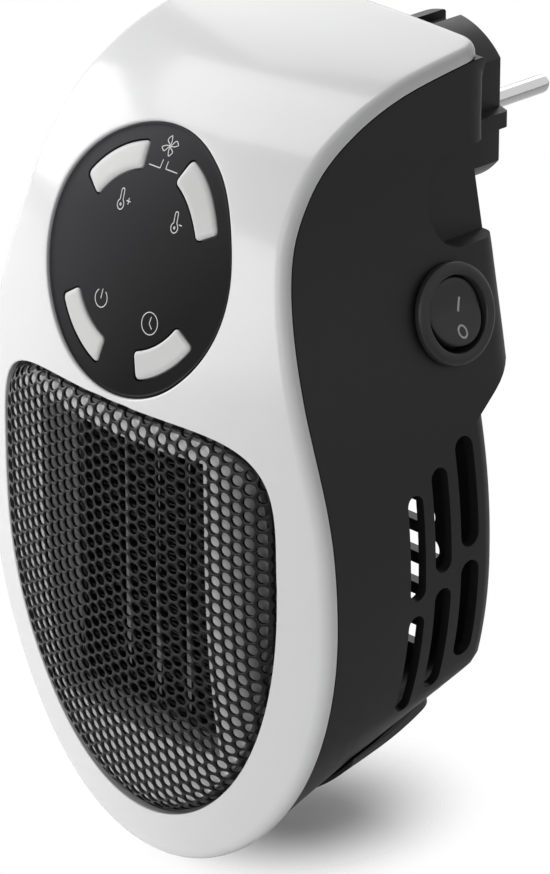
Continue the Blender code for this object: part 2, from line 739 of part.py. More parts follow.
# The rear housing
def rim_points():
    """The housing's rim, from the bottom round the right side, and the upright line of the shell it meets."""
    angle = np.linspace(-math.pi / 2, 0, 12)
    low_run = run_at(WIDEST_HEIGHT * (1 + np.sin(angle)))
    side = np.linspace(run_at(WIDEST_HEIGHT), RUN_END - SHELL_CORNER, SIDE_POINTS)[1:]
    run = np.concatenate((low_run, side))
    z = seam_value("z", run) - seam_value("nz", run) * REST_GAP
    y = seam_value("y", run) - seam_value("ny", run) * REST_GAP
    x = outline_half_width(z)
    x[0], z[0] = 0.0, 0.0
    top_x = np.linspace(TOP_WIDTH / 2, 0, 4)
    top_z = np.full(4, BODY_HEIGHT - TOP_GAP)
    top_y = np.full(4, -HOUSING_WALL * TOP_RIM_SHARE)
    right = np.stack([np.concatenate(pair) for pair in ((x, top_x), (y, top_y), (z, top_z))], axis=1)
    left = right[-2:0:-1] * (-1, 1, 1)
    return np.concatenate((right, left))


def reach(angle, y, inset):
    """How far from the body's middle line the housing's skin lies, at each angle and depth, by halving. A
    negative inset moves it outwards along the same line."""
    if inset < 0:
        return reach(angle, y, 0.0) - inset
    low, high = np.zeros_like(angle), np.full_like(angle, BODY_HEIGHT)
    for _ in range(30):
        middle = (low + high) / 2
        x, z = middle * np.cos(angle), WIDEST_HEIGHT + middle * np.sin(angle)
        inside = (np.abs(x) < half_width(y, z) - inset) & (z < BODY_HEIGHT - TOP_GAP - inset)
        low, high = np.where(inside, middle, low), np.where(inside, high, middle)
    return low


def bowl_rings(inset, back, low_corner, high_corner, front=None):
    """Rings of the housing's skin, moved inwards by inset and closed at depth back, from its rim (or a flat
    front) to its pole. The back edge's radius goes from low_corner below the step to high_corner."""
    rim = rim_points()
    angle = np.arctan2(rim[:, 2] - WIDEST_HEIGHT, rim[:, 0])
    front = rim[:, 1] if front is None else np.full_like(angle, front)
    corner = np.interp(rim[:, 2], (STEP_HEIGHT, PANEL_HEIGHT), (low_corner, high_corner))
    corner = np.minimum(np.maximum(corner - inset, HOUSING_WALL / 2), CORNER_LIMIT_SHARE * (back - front))
    rings = []
    for share in HOUSING_RING_SHARES:
        depth = front + share * (back - corner - front)
        rings.append(polar_ring(reach(angle, depth, inset), depth, angle))
    for turn in np.radians((0.0, 35.0, 65.0, 90.0)):
        depth = back - corner + corner * math.sin(turn)
        radius = reach(angle, depth, inset) - corner * (1 - math.cos(turn))
        rings.append(polar_ring(radius, depth, angle))
    return rings


def polar_ring(radius, depth, angle):
    """Points at a reach from the body's middle line, at given depths and angles."""
    return np.stack((radius * np.cos(angle), depth, WIDEST_HEIGHT + radius * np.sin(angle)), axis=1)


def upper_solid(name, inset):
    """The housing's full-depth form as a solid, moved inwards by inset."""
    start = np.array([[0, -BODY_DEPTH - OVERRUN, WIDEST_HEIGHT]])
    return add_rings(name, [start, *bowl_rings(inset, -inset, WIDE_CORNER, HOUSING_CORNER)])


def stepped_solid(name, inset, front):
    """The housing's shallower lower form as a solid from depth front, moved inwards by inset."""
    return add_rings(name, bowl_rings(inset, -BACK_STEP - inset, STEP_CORNER, STEP_CORNER, front))


def below_ledge(name, front, lift):
    """Everything behind depth front and below the sloped ledge, raised by lift."""
    slope = STEP_SLOPE / BACK_STEP
    line = [(y, STEP_HEIGHT + lift + slope * (y + BACK_STEP)) for y in (OVERRUN, front)]
    outline = [(front, -OVERRUN), (OVERRUN, -OVERRUN), *line]
    return add_prisms(name, [along_x(outline, -BODY_WIDTH, BODY_WIDTH)])


def notch_prisms(grow):
    """Both sides' finger notches, grown evenly: a leaning half-round recess that is open to the back."""
    low, high = NOTCH_LOW - grow, NOTCH_HIGH + grow
    half, middle = (high - low) / 2, (low + high) / 2
    turns = np.linspace(math.pi / 2, 3 * math.pi / 2, 9)
    deep = half * NOTCH_ROUND_SHARE
    front = -NOTCH_FRONT - grow + deep
    outline = [(front + deep * math.cos(t), middle + half * math.sin(t)) for t in turns]
    outline += [(OVERRUN, low), (OVERRUN, high)]
    floor = float(outline_half_width(middle)) - NOTCH_DEPTH - grow
    right = along_x(outline, floor, floor + OVERRUN, NOTCH_LEAN, middle)
    return [right, [ring * (-1, 1, 1) for ring in right]]


def make_notch_walls():
    """Blocks that leave a wall round each notch, trimmed to end inside the side and back walls."""
    blocks = add_prisms("union_notch_walls", notch_prisms(HOUSING_WALL))
    boolean(blocks, upper_solid("trim_notch_walls", HOUSING_WALL / 3), "INTERSECT")
    return blocks


def intake_slots():
    """The rear intake's level slots, each as long as the round intake and the flat of the back allow."""
    prisms = []
    for row in range(INTAKE_ROWS):
        rise = (row - (INTAKE_ROWS - 1) / 2) * INTAKE_PITCH
        low = FAN_HEIGHT + rise - INTAKE_SLOT / 2
        flat = float(half_width(-BACK_STEP, low)) - STEP_CORNER
        half = min(math.sqrt(INTAKE_RADIUS**2 - rise**2) - INTAKE_SLOT / 2, flat)
        upright = capsule(FAN_HEIGHT + rise, INTAKE_SLOT / 2, -half, half, 3)
        prisms.append(along_y([(b, a) for a, b in upright], -BACK_STEP - OVERRUN, OVERRUN))
    return prisms


def make_rear_housing():
    """The bowl-shaped housing with its stepped back, notches, slots, intake and holes."""
    wall = HOUSING_WALL
    outer = bowl_rings(0.0, 0.0, WIDE_CORNER, HOUSING_CORNER)
    inner = bowl_rings(wall, -wall, WIDE_CORNER, HOUSING_CORNER)
    housing = add_rings("rear_housing", outer[::-1] + inner, "black_housing")
    front = -BACK_STEP - STEP_CORNER - wall
    filler = below_ledge("union_back_filler", front - wall, wall * math.hypot(1.0, STEP_SLOPE / BACK_STEP))
    boolean(filler, upper_solid("trim_back_filler", wall / 2), "INTERSECT")
    boolean(housing, filler, "UNION")
    outside = below_ledge("cutter_below_ledge", front, 0.0)
    boolean(outside, stepped_solid("keep_stepped_form", -REST_GAP / 4, front - wall))
    boolean(housing, outside)
    hollow = stepped_solid("cutter_stepped_hollow", wall + REST_GAP, front - LEDGE_WALL_SHARE * wall)
    boolean(housing, hollow).solver = "MANIFOLD"
    boolean(housing, make_notch_walls(), "UNION")
    boolean(housing, add_prisms("cutter_notches", notch_prisms(0.0)))
    posts = [along_y(circle(POWER_POST, place, 8), -POWER_BACK + REST_GAP, -HOUSING_WALL / 2)
             for place in post_places()]
    boolean(housing, add_prisms("union_board_posts", posts), "UNION")
    slots = []
    for back, half_wide, *ends in SLOT_COLUMNS:
        for low, high in (ends[:2], ends[2:]):
            slots.append(along_x(capsule(-back, half_wide, low, high), -BODY_WIDTH, BODY_WIDTH))
    boolean(housing, add_prisms("cutter_side_slots", slots))
    boolean(housing, add_prisms("cutter_intake", intake_slots()))
    neck = circle(PLUG_NECK_RADIUS + REST_GAP, (0, PLUG_AXIS_HEIGHT))
    holes = [along_y(neck, -HOUSING_WALL - REST_GAP, OVERRUN)]
    holes += [along_y(circle(SCREW_RADIUS + REST_GAP, place, 8), -HOUSING_WALL - REST_GAP, OVERRUN)
              for place in screw_places()]
    boolean(housing, add_prisms("cutter_back_holes", holes))
    barrel = switch_prism(circle(SWITCH_BARREL + REST_GAP), -OVERRUN, OVERRUN)
    boolean(housing, add_prisms("cutter_switch_hole", [barrel]))
    return housing


def make_underside_pad():
    """The wedge-shaped pad on the bevelled underside, thin at its front and thick and rounded at its rear."""
    rear = -BACK_STEP - HOUSING_WALL / 4
    rim = rim_points()
    angles = np.sort(np.arctan2(rim[:, 2] - WIDEST_HEIGHT, rim[:, 0]))
    angles = angles[np.abs(angles + math.pi / 2) < PAD_HALF_ANGLE]
    angles = np.array([-math.pi / 2 - PAD_HALF_ANGLE, *angles, -math.pi / 2 + PAD_HALF_ANGLE])
    round_depths = rear - PAD_ROUND * np.array(PAD_ROUND_SHARES)
    depths = np.concatenate((np.linspace(-PAD_FRONT, rear - PAD_ROUND, 4), round_depths))
    rings = []
    for depth in depths:
        past = min(1.0, max(0.0, depth - rear + PAD_ROUND) / PAD_ROUND)
        narrow = 1 - (1 - math.sqrt(1 - past**2)) * PAD_ROUND / (BODY_WIDTH / 3)
        turned = -math.pi / 2 + (angles + math.pi / 2) * narrow
        share = (depth + PAD_FRONT) / (rear + PAD_FRONT)
        thick = PAD_THIN + (PAD_THICK - PAD_THIN) * share
        skin = reach(turned, np.full_like(turned, depth), 0.0)
        ring = []
        for radius, order in ((skin + PAD_GAP, slice(None)), (skin + PAD_GAP + thick, slice(None, None, -1))):
            line = np.stack((radius * np.cos(turned), np.full_like(turned, depth),
                             WIDEST_HEIGHT + radius * np.sin(turned)), axis=1)
            ring.append(line[order])
        rings.append(np.concatenate(ring))
    return add_rings("underside_pad", rings, "black_rubber")


# The outlet: sheet, frame, duct and plate
def sheet_ring(grow, lift):
    """A ring of the perforated sheet: the opening's outline grown by grow, lifted over the shell's face."""
    x, z = opening_outline(grow).T
    return np.stack((x, shell_face(x, z) - lift, z), axis=1)


def sheet_rings(inset, drop):
    """Rings of one face of the sheet, from its middle to the end of its skirt."""
    depth = shell_face(0.0, OPENING_MIDDLE_HEIGHT) - SHEET_PROUD + drop
    rings = [np.array([[0.0, depth, OPENING_MIDDLE_HEIGHT]])]
    half = OPENING_WIDTH / 2
    for share, lift_share in SHEET_RING_SHARES:
        rings.append(sheet_ring(-half * share - inset, SHEET_PROUD * lift_share - drop))
    rings.append(sheet_ring(-SHEET_FIT - half * SHEET_EDGE_SHARE - inset, -drop))
    rings.append(sheet_ring(-SHEET_FIT - inset, -SHEET_SKIRT))
    return rings


def make_outlet_grille():
    """The domed perforated sheet; its holes are wider apart than the real sheet's."""
    outer, inner = sheet_rings(0.0, 0.0), sheet_rings(SHEET_THICKNESS, SHEET_THICKNESS)
    grille = add_rings("outlet_grille", outer + inner[::-1], "grille_steel")
    holes = []
    rows = int(BODY_HEIGHT / SHEET_PITCH)
    row_step = SHEET_PITCH * math.sqrt(3) / 2
    limit = opening_outline(-SHEET_BORDER - SHEET_HOLE / 2)
    edge_angle = np.arctan2(limit[:, 1] - OPENING_MIDDLE_HEIGHT, limit[:, 0])
    edge_reach = np.hypot(limit[:, 1] - OPENING_MIDDLE_HEIGHT, limit[:, 0])
    order = np.argsort(edge_angle)
    for column in range(-rows, rows + 1):
        for row in range(-rows, rows + 1):
            x = column * row_step
            z = OPENING_MIDDLE_HEIGHT + (row + 0.5 * (column % 2)) * SHEET_PITCH
            reach_here = math.hypot(x, z - OPENING_MIDDLE_HEIGHT)
            angle = math.atan2(z - OPENING_MIDDLE_HEIGHT, x)
            edge = np.interp(angle, edge_angle[order], edge_reach[order], period=2 * math.pi)
            if reach_here < edge:
                holes.append(along_y(circle(SHEET_HOLE, (x, z), 6), -BODY_DEPTH - BODY_WIDTH, -DUCT_REAR))
    boolean(grille, add_prisms("cutter_perforation", holes))
    return grille


def opening_tube(name, grow_out, top_out, grow_in, top_in, front_lift, rear, finish):
    """A tube along the opening's outline; its front follows the shell's face, its rear is flat or follows."""
    rings = []
    inside, outside = (grow_in, top_in), (grow_out, top_out)
    for (grow, top), at_front in ((inside, True), (outside, True), (outside, False), (inside, False)):
        outline = opening_outline(grow, top)
        face = shell_face(outline[:, 0], outline[:, 1]) + front_lift
        depth = face if at_front else (face + rear if rear > 0 else np.full(len(outline), rear))
        rings.append(np.stack((outline[:, 0], depth, outline[:, 1]), axis=1))
    points, faces = torus_faces(rings)
    return add_mesh(name, points, faces, finish)


def make_outlet_parts():
    """The frame behind the sheet, the air duct, and the light plate that carries the heater."""
    frame_front = SHELL_WALL + FRAME_GAP
    opening_tube("grille_frame", FRAME_OUTSIDE, -FRAME_INSIDE_TOP, -FRAME_INSIDE, -FRAME_INSIDE, frame_front,
                 FRAME_THICKNESS, "frame_black")
    duct_front = frame_front + FRAME_THICKNESS + REST_GAP
    duct_out = DUCT_INSIDE + DUCT_WALL
    opening_tube("air_duct", duct_out, duct_out, DUCT_INSIDE, DUCT_INSIDE, duct_front, -DUCT_REAR,
                 "duct_light")
    plate = add_prisms("heater_plate", [along_y(opening_outline(DUCT_INSIDE - PLATE_FIT), -PLATE_FRONT,
                                                PLATE_THICKNESS - PLATE_FRONT)], "duct_light")
    half = HEATER_WIDTH / 2 + REST_GAP
    window = rectangle(-half, half, HEATER_LOW - REST_GAP, HEATER_LOW + HEATER_TALL + REST_GAP)
    boolean(plate, add_prisms("cutter_heater_window", [along_y(window, -PLATE_FRONT - OVERRUN, -DUCT_REAR)]))


def window_ring(edge, grow):
    """The heater's window grown by grow, met by a ray to each point of an outline round it, corners kept."""
    half, low = HEATER_WIDTH / 2 + REST_GAP + grow, HEATER_LOW - REST_GAP - grow
    tall = HEATER_TALL / 2 + REST_GAP + grow
    middle = low + tall
    aim = edge - (0.0, middle)
    ring = aim / np.maximum(np.abs(aim[:, 0]) / half, np.abs(aim[:, 1]) / tall)[:, None]
    for corner in ((half, tall), (-half, tall), (-half, -tall), (half, -tall)):
        ring[np.argmin(np.hypot(*(ring - corner).T))] = corner
    return ring + (0.0, middle)


def make_outlet_surround():
    """The surround: a plate that follows the shell's face behind the sheet, and a wall back to the heater's plate."""
    edge = opening_outline(-FRAME_INSIDE - REST_GAP)
    inside, outside = window_ring(edge, 0.0), window_ring(edge, SURROUND_WALL)
    rear = -PLATE_FRONT - REST_GAP
    rings = []
    for outline, drop in ((inside, 0.0), (edge, 0.0), (edge, SURROUND_THICKNESS), (outside, SURROUND_THICKNESS),
                          (outside, None), (inside, None)):
        x, z = outline.T
        depth = np.full(len(x), rear) if drop is None else shell_face(x, z) + SURROUND_SINK + drop
        rings.append(np.stack((x, depth, z), axis=1))
    points, faces = torus_faces(rings)
    add_mesh("outlet_surround", points, faces, "duct_light")


# The heater
def make_heater():
    """The heater's frame, four strips with their tabs and five folded fin blocks between them."""
    front, rear = -HEATER_FRONT, HEATER_DEPTH - HEATER_FRONT
    half, low, high = HEATER_WIDTH / 2, HEATER_LOW, HEATER_LOW + HEATER_TALL
    block = along_y(rectangle(-half, half, low, high), front, rear)
    frame = add_prisms("heater_frame", [block], "frame_black")
    inside = (half - HEATER_FRAME, low + HEATER_FRAME, high - HEATER_FRAME)
    window = rectangle(-inside[0], inside[0], inside[1], inside[2])
    boolean(frame, add_prisms("cutter_fin_window", [along_y(window, front - OVERRUN, rear + OVERRUN)]))
    thick = STRIP_THICKNESS / 2
    middles = [(i - (STRIP_COUNT - 1) / 2) * STRIP_PITCH for i in range(STRIP_COUNT)]
    for number, middle in enumerate(middles, 1):
        outline = rectangle(middle - thick, middle + thick, inside[1] + REST_GAP, inside[2] - REST_GAP)
        add_prisms(f"heating_strip_{number}", [along_y(outline, front, rear)], "strip_aluminium")
    edges = [-inside[0]] + middles + [inside[0]]
    for number, (left, right) in enumerate(zip(edges, edges[1:]), 1):
        left += REST_GAP + (thick if number > 1 else 0)
        right -= REST_GAP + (thick if number <= STRIP_COUNT else 0)
        outline = folded_fin(left, right, inside[1] + REST_GAP, inside[2] - REST_GAP)
        add_prisms(f"fin_block_{number}", [along_y(outline, front, rear)], "fin_aluminium")


def folded_fin(left, right, low, high):
    """A zigzag sheet's outline (x, z) from low to high, folded between left and right."""
    heights = np.linspace(low, high, FIN_FOLDS * 2 + 1)
    near = [left if i % 2 == 0 else right - FIN_SHEET for i in range(len(heights))]
    first = list(zip(near, heights))
    second = [(x + FIN_SHEET, z) for x, z in first]
    return first + second[::-1]


def make_cutout():
    """The round thermal cut-out on the back of the plate."""
    front = PLATE_THICKNESS - PLATE_FRONT + REST_GAP
    ring = circle(CUTOUT_RADIUS, (CUTOUT_RIGHT, CUTOUT_HEIGHT), 20)
    add_prisms("thermal_cutout", [along_y(ring, front, front + CUTOUT_DEPTH)], "steel")


# The fan
def make_shroud():
    """The plate behind the duct with its round tube, and the bracket that holds the motor."""
    front = REST_GAP - DUCT_REAR
    duct_out = DUCT_INSIDE + DUCT_WALL
    sheet = along_y(opening_outline(duct_out), front, front + SHROUD_PLATE)
    plate = add_prisms("fan_shroud", [sheet], "frame_black")
    ring = circle(SHROUD_RADIUS + SHROUD_WALL, (0, FAN_HEIGHT), 32)
    tube = along_y(ring, front + SHROUD_PLATE / 2, -SHROUD_REAR)
    boolean(plate, add_prisms("union_shroud_tube", [tube]), "UNION")
    bore = along_y(circle(SHROUD_RADIUS, (0, FAN_HEIGHT), 32), front - OVERRUN, OVERRUN - SHROUD_REAR)
    boolean(plate, add_prisms("cutter_shroud_bore", [bore]))
    rim = SHROUD_RADIUS + SHROUD_WALL
    near, far = REST_GAP - SHROUD_REAR, REST_GAP - SHROUD_REAR + BRACKET_THICKNESS
    disc = along_y(circle(rim, (0, FAN_HEIGHT), 32), near, far)
    bracket = add_prisms("motor_bracket", [disc], "frame_black")
    hub = MOTOR_RADIUS + REST_GAP
    sectors = [along_y(circle(hub, (0, FAN_HEIGHT), ROUND_POINTS), near - OVERRUN, far + OVERRUN)]
    inner, outer = hub + BRACKET_HUB, rim - BRACKET_RIM
    for arm in range(BRACKET_ARMS):
        start = 2 * math.pi * arm / BRACKET_ARMS + math.pi / 2
        end = start + 2 * math.pi / BRACKET_ARMS
        half_in, half_out = (math.asin(BRACKET_ARM_WIDTH / 2 / radius) for radius in (inner, outer))
        out_turns = np.linspace(start + half_out, end - half_out, 9)
        in_turns = np.linspace(end - half_in, start + half_in, 7)
        outline = [(outer * math.cos(t), outer * math.sin(t)) for t in out_turns]
        outline += [(inner * math.cos(t), inner * math.sin(t)) for t in in_turns]
        outline = [(x, z + FAN_HEIGHT) for x, z in outline]
        sectors.append(along_y(outline, near - OVERRUN, far + OVERRUN))
    boolean(bracket, add_prisms("cutter_bracket", sectors))


def make_motor():
    """The motor with its bore, and the shaft that joins it to the rotor."""
    front, rear = -MOTOR_FRONT, MOTOR_LENGTH - MOTOR_FRONT
    bore = SHAFT_RADIUS + REST_GAP
    shoulder = MOTOR_RADIUS * MOTOR_SHOULDER_SHARE
    profile = [
        (0, front + MOTOR_BORE_DEPTH), (bore, front + MOTOR_BORE_DEPTH), (bore, front),
        (MOTOR_RADIUS - shoulder, front), (MOTOR_RADIUS, front + shoulder), (MOTOR_RADIUS, rear - shoulder),
        (MOTOR_RADIUS - shoulder, rear), (0, rear),
    ]
    add_rings("fan_motor", lathe_rings(profile, (0.0, FAN_HEIGHT)), "motor_steel")
    near = MOTOR_BORE_DEPTH - REST_GAP - MOTOR_FRONT - SHAFT_LENGTH
    far = MOTOR_BORE_DEPTH - REST_GAP - MOTOR_FRONT
    profile = [(0, near), (SHAFT_RADIUS, near), (SHAFT_RADIUS, far), (0, far)]
    add_rings("motor_shaft", lathe_rings(profile, (0.0, FAN_HEIGHT), 12), "steel", (0, near, FAN_HEIGHT))


def blade_rings(turn):
    """One blade as four-cornered sections from inside the hub to the tip, twisted less towards the tip."""
    rings = []
    root = HUB_RADIUS * BLADE_ROOT_SHARE
    for share, chord_share, pitch in BLADE_CHORD_SHARES:
        radius = root + share * (BLADE_TIP - root)
        pitch = math.radians(pitch)
        half = chord_share * ROTOR_DEPTH / 2 / math.sin(pitch)
        room = radius * math.sin(math.pi / BLADE_COUNT) / math.cos(pitch)
        half = min(half, room * BLADE_ROOM_SHARE)
        depth_mid = ROTOR_DEPTH / 2 - ROTOR_FRONT
        ring = []
        for along, side in ((-1, -1), (1, -1), (1, 1), (-1, 1)):
            across = along * half * math.cos(pitch) - side * BLADE_THICKNESS / 2 * math.sin(pitch)
            depth = along * half * math.sin(pitch) + side * BLADE_THICKNESS / 2 * math.cos(pitch)
            angle = turn + across / radius
            ring.append((radius * math.cos(angle), depth_mid + depth, FAN_HEIGHT + radius * math.sin(angle)))
        rings.append(np.array(ring))
    return rings


def make_rotor():
    """The rotor: a hub with a bore, and seven blades."""
    front, rear = -ROTOR_FRONT, ROTOR_DEPTH - ROTOR_FRONT
    pivot = (0, front, FAN_HEIGHT)
    bore = SHAFT_RADIUS + REST_GAP
    rings = []
    for radius, depth in ((bore, front), (HUB_RADIUS, front), (HUB_RADIUS, rear), (bore, rear)):
        rings += lathe_rings([(radius, depth)], (0.0, FAN_HEIGHT))
    points, faces = torus_faces(rings)
    rotor = add_mesh("fan_rotor", points, faces, "frame_black", pivot)
    blade_points, blade_faces = [], []
    for blade in range(BLADE_COUNT):
        new_points, new_faces = skin_rings(blade_rings(2 * math.pi * blade / BLADE_COUNT))
        blade_faces.extend(tuple(len(blade_points) + i for i in face) for face in new_faces)
        blade_points.extend(new_points)
    boolean(rotor, add_mesh("union_blades", blade_points, blade_faces), "UNION")


# The rocker switch
def switch_frame():
    """The switch's middle on the side wall, and its outward, rearward and upward directions."""
    step = SWITCH_FLANGE
    high, low = (float(outline_half_width(SWITCH_HEIGHT + way * step)) for way in (1, -1))
    lean = math.atan2(low - high, 2 * step)
    out = np.array((math.cos(lean), 0.0, math.sin(lean)))
    up = np.array((-math.sin(lean), 0.0, math.cos(lean)))
    middle = np.array(((low + high) / 2, -SWITCH_BACK, SWITCH_HEIGHT)) + REST_GAP * out
    return middle, out, np.array((0.0, 1.0, 0.0)), up


def switch_point(back, up_by, out_by):
    """A point in the switch's own frame."""
    middle, out, back_way, up = switch_frame()
    return middle + back * back_way + up_by * up + out_by * out


def switch_prism(outline, near, far):
    """A pair of matching outlines (back, up) at two distances out of the wall."""
    return [np.array([switch_point(a, b, out) for a, b in outline]) for out in (near, far)]


def make_switch():
    """The switch's body with its round flange and pocket, its terminals, and the rocker on its pivot line."""
    edge_share, top_share = SWITCH_FLANGE_SHARES
    edge = SWITCH_FLANGE_THICKNESS * edge_share
    flange = [(REST_GAP, 1.0), (edge, 1.0), (SWITCH_FLANGE_THICKNESS, top_share)]
    rings = [np.array([switch_point(0, 0, -SWITCH_BARREL_LENGTH)])]
    rings.append(switch_prism(circle(SWITCH_BARREL), -SWITCH_BARREL_LENGTH, 0)[0])
    rings.append(switch_prism(circle(SWITCH_BARREL), REST_GAP, 0)[0])
    rings += [switch_prism(circle(SWITCH_FLANGE * share), out, 0)[0] for out, share in flange]
    lip = ROCKER_RADIUS + ROCKER_FIT
    rings.append(switch_prism(circle(lip), SWITCH_FLANGE_THICKNESS, 0)[0])
    rings.append(switch_prism(circle(lip), -ROCKER_POCKET, 0)[0])
    rings.append(np.array([switch_point(0, 0, -ROCKER_POCKET)]))
    add_rings("switch_body", rings, "black_housing")
    for number, up in enumerate((-TERMINAL_SPACING / 2, TERMINAL_SPACING / 2), 1):
        half, thin = TERMINAL_WIDTH / 2, TERMINAL_THICKNESS / 2
        start = -SWITCH_BARREL_LENGTH - REST_GAP
        blade = switch_prism(rectangle(-half, half, up - thin, up + thin), start - TERMINAL_LENGTH, start)
        add_prisms(f"switch_terminal_{number}", [blade], "copper_brass")
    make_rocker()


def make_rocker():
    """The round rocker: a shallow V over a narrower keel, at rest with its upper end pressed in."""
    pivot = switch_point(0, 0, -ROCKER_PIVOT_DEPTH)
    rim, waist, keel = ROCKER_RADIUS - SLIDE_GAP, ROCKER_RADIUS, ROCKER_KEEL
    slope = (SWITCH_FLANGE_THICKNESS - ROCKER_VALLEY) / rim
    top = [switch_point(a, b, ROCKER_VALLEY + slope * abs(b)) for a, b in circle(rim, count=32)]
    rings = [
        np.array([switch_point(0, 0, -2 * ROCKER_PIVOT_DEPTH)]),
        switch_prism(circle(keel, count=32), -2 * ROCKER_PIVOT_DEPTH, 0)[0],
        switch_prism(circle(waist, count=32), -ROCKER_PIVOT_DEPTH, 0)[0],
        np.array(top),
        np.array([switch_point(0, 0, ROCKER_VALLEY)]),
    ]
    rings = [turn_about(ring, pivot, switch_frame()[2], -ROCKER_TILT) for ring in rings]
    add_rings("switch_rocker", rings, "rocker_black", tuple(pivot))


def turn_about(points, pivot, axis, angle):
    """Points turned about an axis through pivot (Rodrigues)."""
    arms = points - pivot
    cross = np.cross(axis, arms)
    dot = (arms @ axis)[:, None] * axis
    return pivot + arms * math.cos(angle) + cross * math.sin(angle) + dot * (1 - math.cos(angle))


# The mains plug
def plug_outline(grow=0.0):
    """The plug's outline (x, z): a circle with two upright flats, a low rib on each, and two notches."""
    radius, flat = PLUG_RADIUS + grow, PLUG_FLAT + grow
    notch = PLUG_NOTCH_WIDTH / 2
    start, end = math.asin(notch / radius), math.acos(flat / radius)
    quarter = [(radius * math.cos(t), radius * math.sin(t)) for t in np.linspace(end, math.pi / 2 - start, 9)]
    notch_points = [(notch, radius * math.cos(start) - PLUG_NOTCH_DEPTH)]
    rib_half, rib_out = PLUG_RIB_WIDTH / 2, flat + PLUG_RIB_HEIGHT
    slope = PLUG_RIB_HEIGHT / 4
    rib = [(flat, -PLUG_RIB_DROP - rib_half - slope), (rib_out, -PLUG_RIB_DROP - rib_half),
           (rib_out, -PLUG_RIB_DROP + rib_half), (flat, -PLUG_RIB_DROP + rib_half + slope)]
    top_right = quarter + notch_points
    top_left = [(-x, z) for x, z in top_right[::-1]]
    left_rib = [(-x, z) for x, z in rib[::-1]]
    bottom_left = [(-x, -z) for x, z in top_right]
    bottom_right = [(x, -z) for x, z in top_right[::-1]]
    outline = rib + top_right + top_left + left_rib + bottom_left + bottom_right
    return np.array(outline) + (0.0, PLUG_AXIS_HEIGHT)


def make_plug():
    """The plug's body with a neck through the back wall, the clamp ring inside, and two round pins."""
    edge = PLUG_NOTCH_DEPTH / 4
    outline = plug_outline()
    shrunk = plug_outline(-edge)
    rings = []
    for ring, depth in ((outline, REST_GAP), (outline, PLUG_REACH - edge), (shrunk, PLUG_REACH)):
        rings.append(np.stack((ring[:, 0], np.full(len(ring), depth), ring[:, 1]), axis=1))
    plug = add_rings("plug_body", rings, "plug_black")
    neck_front = -HOUSING_WALL - PLUG_NECK_DEPTH
    neck = along_y(circle(PLUG_NECK_RADIUS, (0, PLUG_AXIS_HEIGHT), 32), neck_front, REST_GAP + edge)
    boolean(plug, add_prisms("union_neck", [neck]), "UNION")
    half = PIN_SPACING / 2
    bores = [along_y(circle(PIN_RADIUS + REST_GAP, (side * half, PLUG_AXIS_HEIGHT), 16),
                     PLUG_REACH - PIN_ROOT - REST_GAP, PLUG_REACH + OVERRUN) for side in (1, -1)]
    boolean(plug, add_prisms("cutter_pin_bores", bores))
    tip = PLUG_REACH + PIN_LENGTH
    root = PLUG_REACH - PIN_ROOT
    profile = [(0.0, root), (PIN_RADIUS, root), (PIN_RADIUS, tip - PIN_RADIUS)]
    for turn in np.radians((35.0, 65.0)):
        profile.append((PIN_RADIUS * math.cos(turn), tip - PIN_RADIUS * (1 - math.sin(turn))))
    profile.append((0.0, tip))
    for name, side in (("plug_pin_right", 1), ("plug_pin_left", -1)):
        add_rings(name, lathe_rings(profile, (side * half, PLUG_AXIS_HEIGHT), 14), "chrome_pin")
    near = -HOUSING_WALL - REST_GAP
    axis = (0, PLUG_AXIS_HEIGHT)
    disc = along_y(circle(CLAMP_RADIUS, axis, 32), near - CLAMP_THICKNESS, near)
    clamp = add_prisms("plug_clamp", [disc], "component_black")
    bore = along_y(circle(PLUG_NECK_RADIUS + REST_GAP, axis, 32), near - OVERRUN, near + OVERRUN)
    boolean(clamp, add_prisms("cutter_clamp_bore", [bore]))


# The power board and what stands on it
def post_places():
    """The four posts (x, z) behind the power board."""
    inset = POWER_POST_INSET
    across = (inset - POWER_LEFT, POWER_RIGHT - inset)
    return [(x, z) for x in across for z in (POWER_LOW + inset, POWER_HIGH - inset)]


def make_power_board():
    """The power board, with its relay, capacitor and terminal block on the front face."""
    front = -POWER_BACK - BOARD_THICKNESS
    board = along_y(rectangle(-POWER_LEFT, POWER_RIGHT, POWER_LOW, POWER_HIGH), front, -POWER_BACK)
    add_prisms("power_board", [board], "board_green")
    left = -POWER_LEFT + POWER_POST_INSET
    low = POWER_LOW + POWER_POST_INSET
    for name, (wide, deep, tall) in (("power_relay", RELAY_SIZE), ("power_capacitor", CAPACITOR_SIZE),
                                     ("terminal_block", TERMINAL_BLOCK_SIZE)):
        outline = rectangle(left, left + wide, low, low + tall)
        add_prisms(name, [along_y(outline, front - REST_GAP - deep, front - REST_GAP)], "component_black")
        left += wide + REST_GAP


def make_screws():
    """Two screws from the back of the housing into the shell's posts."""
    for name, (x, z) in zip(("housing_screw_right", "housing_screw_left"), screw_places()):
        profile = [(0.0, -HOUSING_WALL - SCREW_GRIP), (SCREW_RADIUS, -HOUSING_WALL - SCREW_GRIP),
                   (SCREW_RADIUS, REST_GAP), (SCREW_HEAD_RADIUS, REST_GAP),
                   (SCREW_HEAD_RADIUS, REST_GAP + SCREW_HEAD_DEPTH / 2),
                   (SCREW_HEAD_RADIUS * SCREW_DOME_SHARE, REST_GAP + SCREW_HEAD_DEPTH),
                   (0.0, REST_GAP + SCREW_HEAD_DEPTH)]
        add_rings(name, lathe_rings(profile, (x, z), 12), "steel")


clear_scene()
FINISHES = make_materials()
make_front_shell()
make_rear_housing()
make_underside_pad()
make_control_panel()
make_buttons()
make_control_board()
make_outlet_grille()
make_outlet_parts()
make_outlet_surround()
make_heater()
make_cutout()
make_shroud()
make_motor()
make_rotor()
make_switch()
make_plug()
make_power_board()
make_screws()
